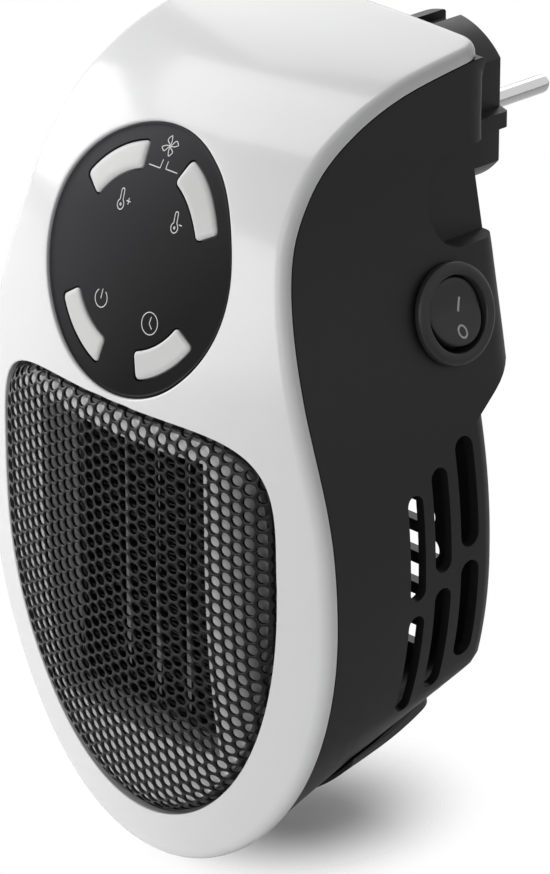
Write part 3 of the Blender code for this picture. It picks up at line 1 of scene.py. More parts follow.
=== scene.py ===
# %% [markdown]
# # A plug-in fan heater
# The heater is a bowl-shaped black housing with a glossy white shell clipped over its front. Warm air
# leaves through a domed perforated sheet, a round panel holds four keys, a rocker switch sits in the right
# side wall and a mains plug on the back carries the whole heater in a wall socket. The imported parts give
# every size and place. This file gives them their looks, as finer surfaces worked out with numpy and as
# finishes made of shader nodes.

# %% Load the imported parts
import math

import bmesh
import bpy
import numpy as np
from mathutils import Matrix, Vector


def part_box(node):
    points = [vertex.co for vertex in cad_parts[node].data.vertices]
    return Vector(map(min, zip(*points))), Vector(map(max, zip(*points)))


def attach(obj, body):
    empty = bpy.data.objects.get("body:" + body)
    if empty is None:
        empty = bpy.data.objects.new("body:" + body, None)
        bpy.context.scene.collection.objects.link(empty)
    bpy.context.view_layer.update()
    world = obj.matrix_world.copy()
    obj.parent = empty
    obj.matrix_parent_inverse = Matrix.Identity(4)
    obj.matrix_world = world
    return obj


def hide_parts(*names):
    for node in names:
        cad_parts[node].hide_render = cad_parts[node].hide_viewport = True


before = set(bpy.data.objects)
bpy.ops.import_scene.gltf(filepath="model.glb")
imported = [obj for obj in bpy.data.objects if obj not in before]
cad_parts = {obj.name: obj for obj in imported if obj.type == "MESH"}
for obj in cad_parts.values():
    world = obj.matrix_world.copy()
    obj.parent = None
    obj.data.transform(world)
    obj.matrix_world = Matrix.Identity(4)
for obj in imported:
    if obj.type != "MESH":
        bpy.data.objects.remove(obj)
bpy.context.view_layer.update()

# %% [markdown]
# ## The camera
# The photograph looks down on the heater's right front corner from about a metre away through a long lens,
# so the upright edges stay nearly parallel. Two angles, a distance and a target say this better than a
# matrix would.

# %% Place the camera
MM = 0.001
AZIMUTH, ELEVATION = math.radians(46.3), math.radians(23.8)
CAMERA_TARGET = np.array((-14.6, -39.0, -73.8)) * MM
CAMERA_DISTANCE = 1196 * MM
LENS, SENSOR = 360, 36

camera = bpy.data.objects.new("camera", bpy.data.cameras.new("camera"))
bpy.context.scene.collection.objects.link(camera)
view_from = np.array((math.sin(AZIMUTH) * math.cos(ELEVATION), -math.cos(AZIMUTH) * math.cos(ELEVATION),
                      math.sin(ELEVATION)))
camera.location = CAMERA_TARGET + CAMERA_DISTANCE * view_from
camera.rotation_euler = Vector(-view_from).to_track_quat("-Z", "Y").to_euler()
camera.data.lens, camera.data.sensor_width, camera.data.sensor_fit = LENS, SENSOR, "HORIZONTAL"
bpy.context.scene.camera = camera
print("camera at", [round(v, 3) for v in camera.location])

# %% [markdown]
# ## Shader expressions
# A finish is a graph of nodes, and a graph is easier to read as a sum. `Field` wraps a socket that carries
# one number over the surface, and its operators add Math nodes, so that `1 - mask * 0.5` builds two nodes.
# Every other node comes from `Finish.node`, which sets the node's own settings before it fills its sockets.

# %% A small language for finishes
class Field:
    """A socket that carries a number; arithmetic on it adds Math nodes to the same finish."""

    def __init__(self, finish, socket):
        self.finish, self.socket = finish, socket

    def _with(self, operation, *values):
        made = self.finish.node("ShaderNodeMath", {"operation": operation}, dict(enumerate(values)))
        return Field(self.finish, made.outputs[0])

    def __add__(self, other):
        return self._with("ADD", self, other)

    def __sub__(self, other):
        return self._with("SUBTRACT", self, other)

    def __rsub__(self, other):
        return self._with("SUBTRACT", other, self)

    def __mul__(self, other):
        return self._with("MULTIPLY", self, other)

    def __truediv__(self, other):
        return self._with("DIVIDE", self, other)

    def __pow__(self, other):
        return self._with("POWER", self, other)

    __rmul__ = __mul__

    def above(self, low, high):
        """0 below low, 1 above high and a straight ramp between them."""
        sockets = {0: self, 1: low, 2: high, 3: 0.0, 4: 1.0}
        made = self.finish.node("ShaderNodeMapRange", {"clamp": True}, sockets)
        return Field(self.finish, made.outputs[0])


class Finish:
    """A material whose Principled shader is filled from expressions."""

    def __init__(self, name, colour, roughness, metallic=0.0, **constants):
        self.material = bpy.data.materials.new(name)
        self.material.use_nodes = True
        self.tree = self.material.node_tree
        self.shader = self.tree.nodes["Principled BSDF"]
        self.colour = colour
        self.shader.inputs["Base Color"].default_value = (*colour, 1.0)
        self.shader.inputs["Roughness"].default_value = roughness
        self.shader.inputs["Metallic"].default_value = metallic
        for socket, value in constants.items():
            self.shader.inputs[socket.replace("_", " ")].default_value = value

    def node(self, kind, settings=None, sockets=None):
        """A node of any kind: its settings first, then the values or links of its sockets."""
        made = self.tree.nodes.new(kind)
        for key, value in (settings or {}).items():
            setattr(made, key, value)
        for key, value in (sockets or {}).items():
            self.feed(made.inputs[key], value)
        return made

    def feed(self, socket, value):
        """Link a field or another node's socket, or set a plain value."""
        if isinstance(value, Field):
            value = value.socket
        if isinstance(value, bpy.types.NodeSocket):
            self.tree.links.new(value, socket)
        else:
            socket.default_value = value

    def place(self):
        """The point of the surface, in metres, in the object's own frame."""
        return self.node("ShaderNodeTexCoord").outputs["Object"]

    def noise(self, size, detail=2.0, stretch=(1.0, 1.0, 1.0)):
        """Smooth noise from 0 to 1 whose features are about size across."""
        scaled = self.node("ShaderNodeMapping", {"vector_type": "POINT"},
                           {"Vector": self.place(), "Scale": stretch})
        made = self.node("ShaderNodeTexNoise", {"noise_dimensions": "3D"},
                         {"Vector": scaled.outputs[0], "Scale": 1 / size, "Detail": detail})
        return Field(self, made.outputs["Fac"])

    def mix(self, share, colour_a, colour_b):
        """A colour between two, by a field."""
        made = self.node("ShaderNodeMix", {"data_type": "RGBA", "blend_type": "MIX"}, {"Factor": share})
        for name, colour in (("A", colour_a), ("B", colour_b)):
            self.feed(next(s for s in made.inputs if s.name == name and s.type == "RGBA"), colour)
        return next(s for s in made.outputs if s.type == "RGBA")

    def tint(self, share, low, high):
        """The base colour times low where share is 0 and times high where it is 1."""
        dark, light = ([*(min(1.0, c * k) for c in self.colour), 1.0] for k in (low, high))
        self.feed(self.shader.inputs["Base Color"], self.mix(share, dark, light))

    def rough(self, share, low, high):
        """The roughness from low to high by a field."""
        self.feed(self.shader.inputs["Roughness"], share * (high - low) + low)

    def bump(self, height, depth):
        """A bump from a field, with its depth in metres."""
        made = self.node("ShaderNodeBump", {}, {"Strength": 1.0, "Distance": depth, "Height": height})
        self.feed(self.shader.inputs["Normal"], made.outputs[0])

# %% [markdown]
# ## Finishes
# Moulded plastic is never quite even: the mould's own texture breaks up its shine, and the resin's flow
# leaves a faint drift in its colour. Each finish below has a fine grain for the bump and a slow drift for
# colour and shine, at the sizes that the real surface shows. Two of them also carry painted light and shade
# from one side of the piece to the other: the panel's colour is painted lighter at its upper left and
# darker at its lower right, and the surround's is painted darker to the right, as painted shade where the
# shell shades it.

# %% Moulded plastics
DRIFT_SIZE, SMEAR_SIZE, FINE_DETAIL = 18 * MM, 3 * MM, 3.0


def moulded(name, colour, roughness, grain, depth, drift=0.03, swing=0.06, slope=None, **constants):
    """A moulded plastic: grain is the texture's size, depth its height, drift and swing its unevenness.

    slope is painted light and shade across the piece: its direction, where it starts and stops, and both
    tones.
    """
    made = Finish(name, colour, roughness, **constants)
    slow = made.noise(DRIFT_SIZE)
    # A slope paints light and shade into the colour: a straight ramp of tone along its direction.
    if slope:
        direction, start, stop, first, last = slope
        along = made.node("ShaderNodeVectorMath", {"operation": "DOT_PRODUCT"},
                          {0: made.place(), 1: direction})
        made.tint(Field(made, along.outputs["Value"]).above(start, stop) + slow * drift, first, last)
    else:
        made.tint(slow, 1 - drift, 1 + drift)
    made.rough(made.noise(SMEAR_SIZE, FINE_DETAIL), roughness - swing, roughness + swing)
    made.bump(made.noise(grain, FINE_DETAIL), depth)
    return made.material


GLOSS_COAT = {"Coat_Weight": 0.25, "Coat_Roughness": 0.08}
# Painted light and shade on the panel: its colour is lighter towards the upper left and darker towards the
# lower right.
PANEL_PAINTED_LIGHT = ((-1.0, 0.0, 0.8), -34 * MM, 30 * MM, 0.1, 8.0)
# Painted shade on the surround: its colour darkens towards its right edge, where the shell shades it.
SURROUND_PAINTED_SHADE = ((1.0, 0.0, 0.0), 26 * MM, 37 * MM, 1.0, 0.12)
PLASTICS = {
    "white_gloss": ((0.83, 0.83, 0.835), 0.22, 2.5, 0.004, 0.012, 0.03, GLOSS_COAT),
    "housing_black": ((0.009, 0.009, 0.0095), 0.46, 0.35, 0.01, 0.05, 0.06, {"Specular_IOR_Level": 0.3}),
    "pad_rubber": ((0.016, 0.016, 0.0165), 0.62, 0.5, 0.02, 0.08, 0.06, {}),
    "panel_black_painted_light": ((0.0055, 0.0055, 0.006), 0.42, 0.3, 0.006, 0.04, 0.06,
                    {"slope": PANEL_PAINTED_LIGHT, "Specular_IOR_Level": 0.1}),
    "key_paint": ((0.65, 0.65, 0.645), 0.34, 0.6, 0.006, 0.015, 0.06, {}),
    "print_white": ((0.72, 0.72, 0.72), 0.5, 0.2, 0.004, 0.05, 0.06, {}),
    "switch_gloss": ((0.034, 0.034, 0.035), 0.36, 1.2, 0.003, 0.04, 0.04, {"Specular_IOR_Level": 0.3}),
    "plug_black": ((0.012, 0.012, 0.013), 0.42, 0.4, 0.01, 0.05, 0.06, {"Specular_IOR_Level": 0.25}),
    "duct_pale": ((0.68, 0.68, 0.67), 0.5, 0.8, 0.01, 0.05, 0.06, {}),
    "surround_pale_painted_shade": ((0.93, 0.93, 0.92), 0.3, 0.8, 0.01, 0.03, 0.06, {"slope": SURROUND_PAINTED_SHADE}),
    "frame_grey": ((0.2, 0.2, 0.2), 0.5, 0.8, 0.01, 0.05, 0.06, {}),
    "frame_black": ((0.02, 0.02, 0.02), 0.55, 0.5, 0.01, 0.06, 0.06, {}),
    "component_black": ((0.03, 0.03, 0.032), 0.45, 0.4, 0.008, 0.08, 0.06, {}),
    "board_green": ((0.025, 0.14, 0.06), 0.4, 0.9, 0.01, 0.12, 0.06, {}),
    "grille_coat": ((0.004, 0.004, 0.0045), 0.24, 0.5, 0.004, 0.05, 0.04, {"Specular_IOR_Level": 0.28}),
}
finishes = {}
for name, (colour, roughness, grain, depth, drift, swing, more) in PLASTICS.items():
    finishes[name] = moulded(name, colour, roughness, grain * MM, depth * MM, drift, swing, **more)
print(len(finishes), "plastics and coats")

# %% [markdown]
# Metals need less: a tint, a shine that varies along the direction in which the metal was rolled or turned,
# and a trace of bump that follows it. The perforated sheet isn't among them: it is steel, but what shows is
# its black coat.

# %% Metals
METAL_CLOUD, METAL_DETAIL, METAL_RELIEF = 9 * MM, 4.0, 0.002 * MM


def metal(name, colour, roughness, grain, stretch, swing):
    """A bare metal whose grain is drawn out by stretch, small along the grain and large across it."""
    made = Finish(name, colour, roughness, 1.0)
    lines = made.noise(grain, METAL_DETAIL, stretch)
    made.tint(made.noise(METAL_CLOUD), 0.94, 1.04)
    made.rough(lines, roughness - swing, roughness + swing)
    made.bump(lines, METAL_RELIEF)
    return made.material


METALS = {
    "pin_chrome": ((0.6, 0.6, 0.61), 0.14, 0.5, (4.0, 0.3, 4.0), 0.05),
    "strip_bright": ((0.3, 0.3, 0.31), 0.34, 0.6, (3.0, 3.0, 0.3), 0.08),
    "fin_dark": ((0.06, 0.06, 0.062), 0.42, 0.5, (2.0, 2.0, 2.0), 0.08),
    "steel": ((0.5, 0.5, 0.51), 0.34, 0.6, (2.0, 0.5, 2.0), 0.08),
    "motor_steel": ((0.4, 0.4, 0.41), 0.38, 0.6, (0.4, 3.0, 0.4), 0.08),
    "brass": ((0.72, 0.53, 0.24), 0.33, 0.5, (2.0, 2.0, 2.0), 0.08),
}
for name, (colour, roughness, grain, stretch, swing) in METALS.items():
    finishes[name] = metal(name, colour, roughness, grain * MM, stretch, swing)
print(len(finishes), "finishes in all")

# %% [markdown]
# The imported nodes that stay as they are, mostly inside, take their finish here. What a finer surface
# replaces below takes its own finish when it is made.

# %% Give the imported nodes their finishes
FINISHED_NODES = {
    "white_gloss": "front_shell",
    "housing_black": "rear_housing",
    "pad_rubber": "underside_pad",
    "grille_coat": "outlet_grille",
    "panel_black_painted_light": "control_panel",
    "key_paint": "button_power button_timer button_temp_up button_temp_down",
    "board_green": "control_board power_board",
    "component_black": "tact_switch_power tact_switch_timer tact_switch_temp_up tact_switch_temp_down "
                       "power_relay power_capacitor terminal_block",
    "duct_pale": "air_duct heater_plate fan_shroud motor_bracket",
    "surround_pale_painted_shade": "outlet_surround",
    "frame_grey": "grille_frame",
    "frame_black": "heater_frame fan_rotor plug_clamp",
    "steel": "housing_screw_left housing_screw_right motor_shaft thermal_cutout",
    "motor_steel": "fan_motor",
    "pin_chrome": "plug_pin_left plug_pin_right",
    "switch_gloss": "switch_rocker switch_body",
    "plug_black": "plug_body",
    "brass": "switch_terminal_1 switch_terminal_2",
    "fin_dark": "fin_block_1 fin_block_2 fin_block_3 fin_block_4",
    "strip_bright": "heating_strip_1 heating_strip_2 heating_strip_3",
}
for finish, nodes in FINISHED_NODES.items():
    for node in nodes.split():
        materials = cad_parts[node].data.materials
        materials.clear()
        materials.append(finishes[finish])
print(sum(len(nodes.split()) for nodes in FINISHED_NODES.values()), "nodes of", len(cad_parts))

# %% [markdown]
# ## The body's form
# Seen from the side, the line where shell and housing meet is one smooth curve. Everything on the front is
# placed by two numbers on it: how far across the body, and how far along this line, with a height outwards
# from it. The shell bulges over the line as a shallow parabola, which is the crown. The body's own frame
# has y towards the wall from the housing's back and z up from the lowest point, and one shift takes it to
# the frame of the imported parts.

# %% The seam line and the outline
BODY_WIDTH, TOP_WIDTH, BODY_HEIGHT, BODY_DEPTH = 105.4 * MM, 72.0 * MM, 175.8 * MM, 60.0 * MM
WIDEST_HEIGHT, SHOULDER_HEIGHT, SWEEP_POWER, CROWN_RADIUS = 71.5 * MM, 165.0 * MM, 1.12, 120.0 * MM
LIP_DEPTH, LIP_ROUND, SHELL_WALL, SHELL_CORNER = 2.7 * MM, 2.0 * MM, 2.2 * MM, 6.0 * MM
SEAM_SHARES = ((-1.008, 0.0), (-0.975, 0.13), (-0.968, 0.256), (-0.985, 0.4835), (-1.022, 0.671),
               (-0.972, 0.8134), (-0.855, 0.893), (-0.683, 0.944), (-0.417, 0.9795), (0.0, 1.0))
CROWN_SHARES = ((0.0, 1.0), (0.62, 1.0), (0.78, 0.75), (0.93, 0.75), (1.0, 0.08))
TO_ROW = np.array((0.0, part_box("rear_housing")[1].y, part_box("front_shell")[0].z))


def smooth_curve(points, count):
    """A Catmull-Rom curve through the points, read at even distances along it."""
    points = np.asarray(points, float)
    padded = np.vstack((2 * points[0] - points[1], points, 2 * points[-1] - points[-2]))
    place = np.linspace(0, len(points) - 1, count * 4)
    span = np.minimum(place.astype(int), len(points) - 2)
    t = (place - span)[:, None]
    a, b, c, d = (padded[span + i] for i in range(4))
    square, cube = 2 * a - 5 * b + 4 * c - d, 3 * b - a - 3 * c + d
    curve = 0.5 * (2 * b + (c - a) * t + square * t**2 + cube * t**3)
    run = np.concatenate(([0], np.cumsum(np.linalg.norm(np.diff(curve, axis=0), axis=1))))
    even = np.linspace(0, run[-1], count)
    return np.stack([np.interp(even, run, curve[:, i]) for i in range(curve.shape[1])], axis=1), even


def softened(values, width):
    """The values averaged over a window of width places, with both ends held."""
    padded = np.concatenate((np.full(width, values[0]), values, np.full(width, values[-1])))
    return np.convolve(padded, np.ones(2 * width + 1) / (2 * width + 1), "same")[width:-width]


seam_line, seam_run = smooth_curve([(y * BODY_DEPTH, z * BODY_HEIGHT) for y, z in SEAM_SHARES], 800)
seam_way = np.gradient(seam_line, axis=0)
seam_way /= np.linalg.norm(seam_way, axis=1)[:, None]
RUN_END = seam_run[-1]
SEAM = {"y": seam_line[:, 0], "z": seam_line[:, 1], "ny": -seam_way[:, 1], "nz": seam_way[:, 0]}
fine_height = np.linspace(0, BODY_HEIGHT, 400)
crown_share = softened(np.interp(fine_height, *(np.array(CROWN_SHARES) * (BODY_HEIGHT, 1)).T), 18)


def seam(key, run):
    """One of the seam's values at a run from the bottom."""
    return np.interp(run, seam_run, SEAM[key])


def run_at(z):
    """The run along the seam at height z."""
    return np.interp(z, SEAM["z"], seam_run)


def over_seam(x, run, height):
    """The point x across and run along the seam, moved outwards by height."""
    return np.stack(np.broadcast_arrays(x, seam("y", run) + seam("ny", run) * height,
                                        seam("z", run) + seam("nz", run) * height), axis=-1)


def outline_half_width(z):
    """Half the width at height z: an ellipse up to the widest point, then half a cosine to the shoulder."""
    half, top = BODY_WIDTH / 2, TOP_WIDTH / 2
    below = half * np.sqrt(np.clip(1 - ((WIDEST_HEIGHT - z) / WIDEST_HEIGHT) ** 2, 0, 1))
    rise = np.clip((z - WIDEST_HEIGHT) / (SHOULDER_HEIGHT - WIDEST_HEIGHT), 0, 1)
    above = top + (half - top) * (1 + np.cos(math.pi * rise**SWEEP_POWER)) / 2
    return np.where(z < WIDEST_HEIGHT, below, above)


def crown(x, run):
    """The bulge over the seam: half width squared less x squared, over twice the crown's radius."""
    z = seam("z", run)
    bulge = np.maximum(outline_half_width(z) ** 2 - np.asarray(x) ** 2, 0) / (2 * CROWN_RADIUS)
    return np.interp(z, fine_height, crown_share) * bulge


def front(x, run, height=0.0):
    """The shell's outer face at x and run, moved outwards by height."""
    return over_seam(x, run, LIP_DEPTH + crown(x, run) + height)


def run_of(x, z, height=0.0):
    """The run at which the shell's face stands at height z, found by a few steps towards it."""
    run = run_at(z)
    for _ in range(6):
        run = run_at(z - seam("nz", run) * (LIP_DEPTH + crown(x, run) + height))
    return run


print("seam line", round(RUN_END / MM, 1), "mm long")

# %% [markdown]
# ## From grids to meshes
# Each new piece is one or more grids of points, a function of two parameters. A grid becomes rows of
# four-cornered faces; grids that share an edge are welded, and the closed skin is then turned to face
# outwards.

# %% Make a piece from grids
def grid_faces(rows, columns, start):
    """The corner numbers of the faces of a grid whose last column joins its first."""
    across = np.arange(columns)
    after = (across + 1) % columns
    row = np.arange(rows - 1)[:, None] * columns + start
    corners = (row + across, row + after, row + columns + after, row + columns + across)
    return np.stack(corners, axis=-1).reshape(-1, 4)


def new_mesh(name, grids, weld=0.002 * MM):
    """One mesh from grids of points in the body's frame, welded and turned to face outwards."""
    points, faces, start = [], [], 0
    for grid in grids:
        rows, columns = grid.shape[:2]
        points.append(grid.reshape(-1, 3))
        faces.append(grid_faces(rows, columns, start))
        start += rows * columns
    mesh = bpy.data.meshes.new(name)
    mesh.from_pydata(np.concatenate(points) + TO_ROW, [], np.concatenate(faces).tolist())
    work = bmesh.new()
    work.from_mesh(mesh)
    bmesh.ops.remove_doubles(work, verts=work.verts, dist=weld)
    bmesh.ops.recalc_face_normals(work, faces=work.faces)
    work.to_mesh(mesh)
    work.free()
    return mesh


def add_piece(name, mesh, finish, body, *replaced, sharp=40.0):
    """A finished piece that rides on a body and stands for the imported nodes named."""
    piece = bpy.data.objects.new(name, mesh)
    bpy.context.scene.collection.objects.link(piece)
    mesh.materials.clear()
    mesh.materials.append(finishes[finish])
    mesh.shade_smooth()
    mesh.set_sharp_from_angle(angle=math.radians(sharp))
    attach(piece, body)
    if replaced:
        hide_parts(*replaced)
    print(name, len(mesh.polygons), "faces")


def capped(rows):
    """Matching loops as one grid, with both ends closed by a loop shrunk to its middle."""
    rows = np.asarray(rows, float)
    ends = [np.broadcast_to(loop.mean(axis=0), loop.shape) for loop in (rows[0], rows[-1])]
    return np.array([ends[0], *rows, ends[1]])


def prism(near, far):
    """A solid between two matching loops."""
    return new_mesh("prism", [capped((near, far))])


def polar(centre, radius, angle):
    """Points (a, b) at a radius and angle from a centre."""
    return np.stack((centre[0] + radius * np.cos(angle), centre[1] + radius * np.sin(angle)), axis=-1)

# %% [markdown]
# ## The white shell
# The shell is one moulding with two openings: the outlet and the panel's round hole. A single grid can't go
# round two holes, so the skin is two rings of rays that share the line between them. Each ray starts at its
# opening's rounded edge and ends at the shell's rim. A third grid rolls the rim over into the side lip, and
# a second pair of ray grids makes the inside, so that the wall has its real thickness.

# %% The shell's outlines
OPENING_WIDTH, OPENING_MIDDLE, OPENING_BELOW, OPENING_ABOVE = 83.6 * MM, 74.8 * MM, 63.5 * MM, 33.5 * MM
OPENING_POWER = 5.0
PANEL_HALF_WIDTH, PANEL_HALF_RUN, PANEL_HEIGHT, REST_GAP = 26.9 * MM, 25.9 * MM, 136.5 * MM, 0.3 * MM
EDGE_ROUND, OUTLINE_POINTS = 0.4 * MM, 720


def opening_outline(grow):
    """The outlet (x, z): an ellipse below its middle, a superellipse of power 5 above, both grown by grow."""
    angle = np.linspace(0, 2 * math.pi, OUTLINE_POINTS, endpoint=False)
    side, up = np.cos(angle), np.sin(angle)
    power = np.where(up > 0, 2 / OPENING_POWER, 1.0)
    tall = np.where(up > 0, OPENING_ABOVE, OPENING_BELOW) + grow
    return np.stack(((OPENING_WIDTH / 2 + grow) * np.sign(side) * np.abs(side) ** power,
                     OPENING_MIDDLE + tall * np.sign(up) * np.abs(up) ** power), axis=1)


def shell_outline(inset):
    """The shell's rim (x, run) from the bottom round the right side, moved inwards by inset."""
    angle = np.linspace(-math.pi / 2, 0, 70)
    right = [np.stack((BODY_WIDTH / 2 * np.cos(angle), run_at(WIDEST_HEIGHT * (1 + np.sin(angle)))), axis=1)]
    side = np.linspace(run_at(WIDEST_HEIGHT), RUN_END - SHELL_CORNER, 90)[1:-1]
    right.append(np.stack((outline_half_width(seam("z", side)), side), axis=1))
    corner = (TOP_WIDTH / 2 - SHELL_CORNER, RUN_END - SHELL_CORNER)
    right.append(polar(corner, SHELL_CORNER, np.linspace(0, math.pi / 2, 12)))
    right.append(np.stack((np.linspace(corner[0], 0, 18)[1:], np.full(17, RUN_END)), axis=1))
    right = np.concatenate(right)
    outline = np.concatenate((right, right[-2:0:-1] * (-1, 1)))
    along = np.roll(outline, -1, axis=0) - np.roll(outline, 1, axis=0)
    along /= np.linalg.norm(along, axis=1)[:, None]
    return outline - inset * np.stack((along[:, 1], -along[:, 0]), axis=1)


outlet_xz = opening_outline(0.0)
outlet_edge = np.stack((outlet_xz[:, 0], run_of(outlet_xz[:, 0], outlet_xz[:, 1])), axis=1)
panel_run = run_at(PANEL_HEIGHT)
ring_angle = np.linspace(0, 2 * math.pi, OUTLINE_POINTS, endpoint=False)
panel_edge = np.stack(((PANEL_HALF_WIDTH + REST_GAP) * np.cos(ring_angle),
                       panel_run + (PANEL_HALF_RUN + REST_GAP) * np.sin(ring_angle)), axis=1)
divide_run = (outlet_edge[:, 1].max() + panel_edge[:, 1].min()) / 2
print("strip between the openings", round((panel_edge[:, 1].min() - outlet_edge[:, 1].max()) / MM, 2), "mm")

# %% The shell's skin
SKIN_ROWS = 16


def loops(inset):
    """The outer loops of the two rings: the rim below and above the dividing line, closed along it."""
    rim = shell_outline(inset)
    middle = len(rim) // 2
    first = int(np.searchsorted(shell_outline(0.0)[:middle, 1], divide_run))
    last = len(rim) - first
    share = np.linspace(0, 1, 62)[1:-1, None]
    line = rim[first] + (rim[last] - rim[first]) * share
    lower = np.concatenate((rim[last:], rim[:first + 1], line))
    return lower, np.concatenate((rim[first:last + 1], line[::-1]))


def ray_start(edge, centre, loop, grow):
    """Where the rays from centre to the loop's points cross the opening's edge, grown by grow."""
    reach = edge - centre
    angle, radius = np.arctan2(reach[:, 1], reach[:, 0]), np.hypot(reach[:, 0], reach[:, 1])
    order = np.argsort(angle)
    aim = np.arctan2(loop[:, 1] - centre[1], loop[:, 0] - centre[0])
    return polar(centre, np.interp(aim, angle[order], radius[order], period=2 * math.pi) + grow, aim)


def lay(plan, height):
    """Plan points (x, run) laid on the shell's face at a height over it."""
    return front(plan[..., 0], plan[..., 1], height)


def shell_skin(edge, centre, outer, inner):
    """One ring of rays as two grids: the opening's wall, edge and outer face, and the inner face."""
    rows = [lay(ray_start(edge, centre, outer, 0.0), -SHELL_WALL)]
    for turn in np.radians((0, 18, 36, 54, 72)):
        drop, grow = EDGE_ROUND * (1 - math.sin(turn)), EDGE_ROUND * (1 - math.cos(turn))
        rows.append(lay(ray_start(edge, centre, outer, grow), -drop))
    start = ray_start(edge, centre, outer, EDGE_ROUND)
    rows += [lay(start + (outer - start) * share, 0.0) for share in np.linspace(0, 1, SKIN_ROWS)]
    under = ray_start(edge, centre, outer, 0.0)
    inside = [lay(under + (inner - under) * share, -SHELL_WALL) for share in np.linspace(0, 1, SKIN_ROWS)]
    return [np.array(rows), np.array(inside)]


def shell_rim():
    """The rim rolled over: a quarter circle to the side, the seam, and back up inside the wall."""
    rows = []
    for turn in np.radians(np.linspace(90, 0, 9)):
        plan = shell_outline(LIP_ROUND * (1 - math.cos(turn)))
        rows.append(lay(plan, -LIP_ROUND * (1 - math.sin(turn))))
    for inset in (0.0, SHELL_WALL):
        plan = shell_outline(inset)
        rows.append(over_seam(plan[:, 0], plan[:, 1], 0.0))
    rows.append(lay(shell_outline(SHELL_WALL), -SHELL_WALL))
    return np.array(rows)


lower_out, upper_out = loops(LIP_ROUND)
lower_in, upper_in = loops(SHELL_WALL)
outlet_centre = np.array((0.0, run_at(OPENING_MIDDLE)))
shell_grids = shell_skin(outlet_edge, outlet_centre, lower_out, lower_in)
shell_grids += shell_skin(panel_edge, np.array((0.0, panel_run)), upper_out, upper_in)
shell_grids.append(shell_rim())
add_piece("white_shell", new_mesh("white_shell", shell_grids), "white_gloss", "heater_body", "front_shell")

# %% [markdown]
# ## The perforated sheet
# The sheet is pressed from flat perforated steel, so its holes are a plain honeycomb that the pressing has
# bent: over the curled rim they keep their pitch along the metal and so look crowded from the front. Each
# cell of the honeycomb is the same few rings of points, from the cell's hexagon on the front over the
# hole's rounded rim to the hexagon behind. All cells are worked out at once, flat, and then bent onto the
# dome; where cells touch, they weld.

# %% The dome and the way flat metal bends onto it
HOLE_PITCH, HOLE_RADIUS, SHEET_THICKNESS = 3.04 * MM, 1.25 * MM, 0.8 * MM
SHEET_PROUD, SHEET_SKIRT, SHEET_FIT, CURL = 1.5 * MM, 2.5 * MM, 0.4 * MM, 5.0 * MM
CELL_CORNERS, CELL_OVERHANG, HOLE_BORDER, SMALLEST_HOLE = 12, 0.3 * HOLE_PITCH, 0.3 * MM, 0.15 * MM

curl_turn = np.linspace(0, math.pi / 2, 200)
curl_in, curl_up = CURL * (1 - np.cos(curl_turn)), (SHEET_PROUD + SHEET_SKIRT) * np.sin(curl_turn)
curl_metal = np.concatenate(([0], np.cumsum(np.hypot(np.diff(curl_in), np.diff(curl_up)))))
SPARE = curl_metal[-1] - CURL


def outlet_share(x, z, grow):
    """A point's share of the way to the outlet's outline grown by grow: the superellipse's own norm."""
    above = z > OPENING_MIDDLE
    across = np.abs(x) / (OPENING_WIDTH / 2 + grow)
    up = np.abs(z - OPENING_MIDDLE) / (np.where(above, OPENING_ABOVE, OPENING_BELOW) + grow)
    power = np.where(above, OPENING_POWER, 2.0)
    return (across**power + up**power) ** (1 / power)


def bend(x, z, drop):
    """Flat metal bent onto the dome: its distance from the rim gives its place and its lift."""
    flat_grow, grow = SPARE - SHEET_FIT, -SHEET_FIT
    flat_half, half = OPENING_WIDTH / 2 + flat_grow, OPENING_WIDTH / 2 + grow
    share = np.maximum(outlet_share(x, z, flat_grow), 1e-6)
    metal_in = flat_half * (1 - np.minimum(share, 1.0))
    inside = np.where(metal_in < curl_metal[-1], np.interp(metal_in, curl_metal, curl_in), metal_in - SPARE)
    pull = (1 - inside / half) / share
    upward = np.where(z > OPENING_MIDDLE, OPENING_ABOVE, OPENING_BELOW)
    tall, flat_tall = upward + grow, upward + flat_grow
    x, z = x * half / flat_half * pull, OPENING_MIDDLE + (z - OPENING_MIDDLE) * tall / flat_tall * pull
    lift = np.interp(inside, curl_in, curl_up) - SHEET_SKIRT - drop
    return front(x, run_of(x, z, lift), lift)


# %% Punch and press the sheet
def honeycomb():
    """Cell centres of a honeycomb with upright columns, with each centre's distance from the flat rim."""
    step = HOLE_PITCH * math.sqrt(3) / 2
    column, row = np.meshgrid(np.arange(-20, 21), np.arange(-30, 31))
    x, z = column * step, OPENING_MIDDLE + (row + 0.5 * (column % 2)) * HOLE_PITCH
    inside = (1 - outlet_share(x, z, SPARE - SHEET_FIT)) * (OPENING_WIDTH / 2 + SPARE - SHEET_FIT)
    keep = inside > -CELL_OVERHANG
    return x[keep], z[keep], inside[keep]


def cell_ring(x, z, radius, hexagon):
    """A ring of points round each cell: a circle, or the cell's hexagon."""
    angle = np.arange(CELL_CORNERS) * 2 * math.pi / CELL_CORNERS
    fold = np.mod(angle, math.pi / 3) - math.pi / 6
    reach = radius[:, None] * (1 / np.cos(fold) if hexagon else np.ones(CELL_CORNERS))
    return x[:, None] + reach * np.cos(angle), z[:, None] + reach * np.sin(angle)


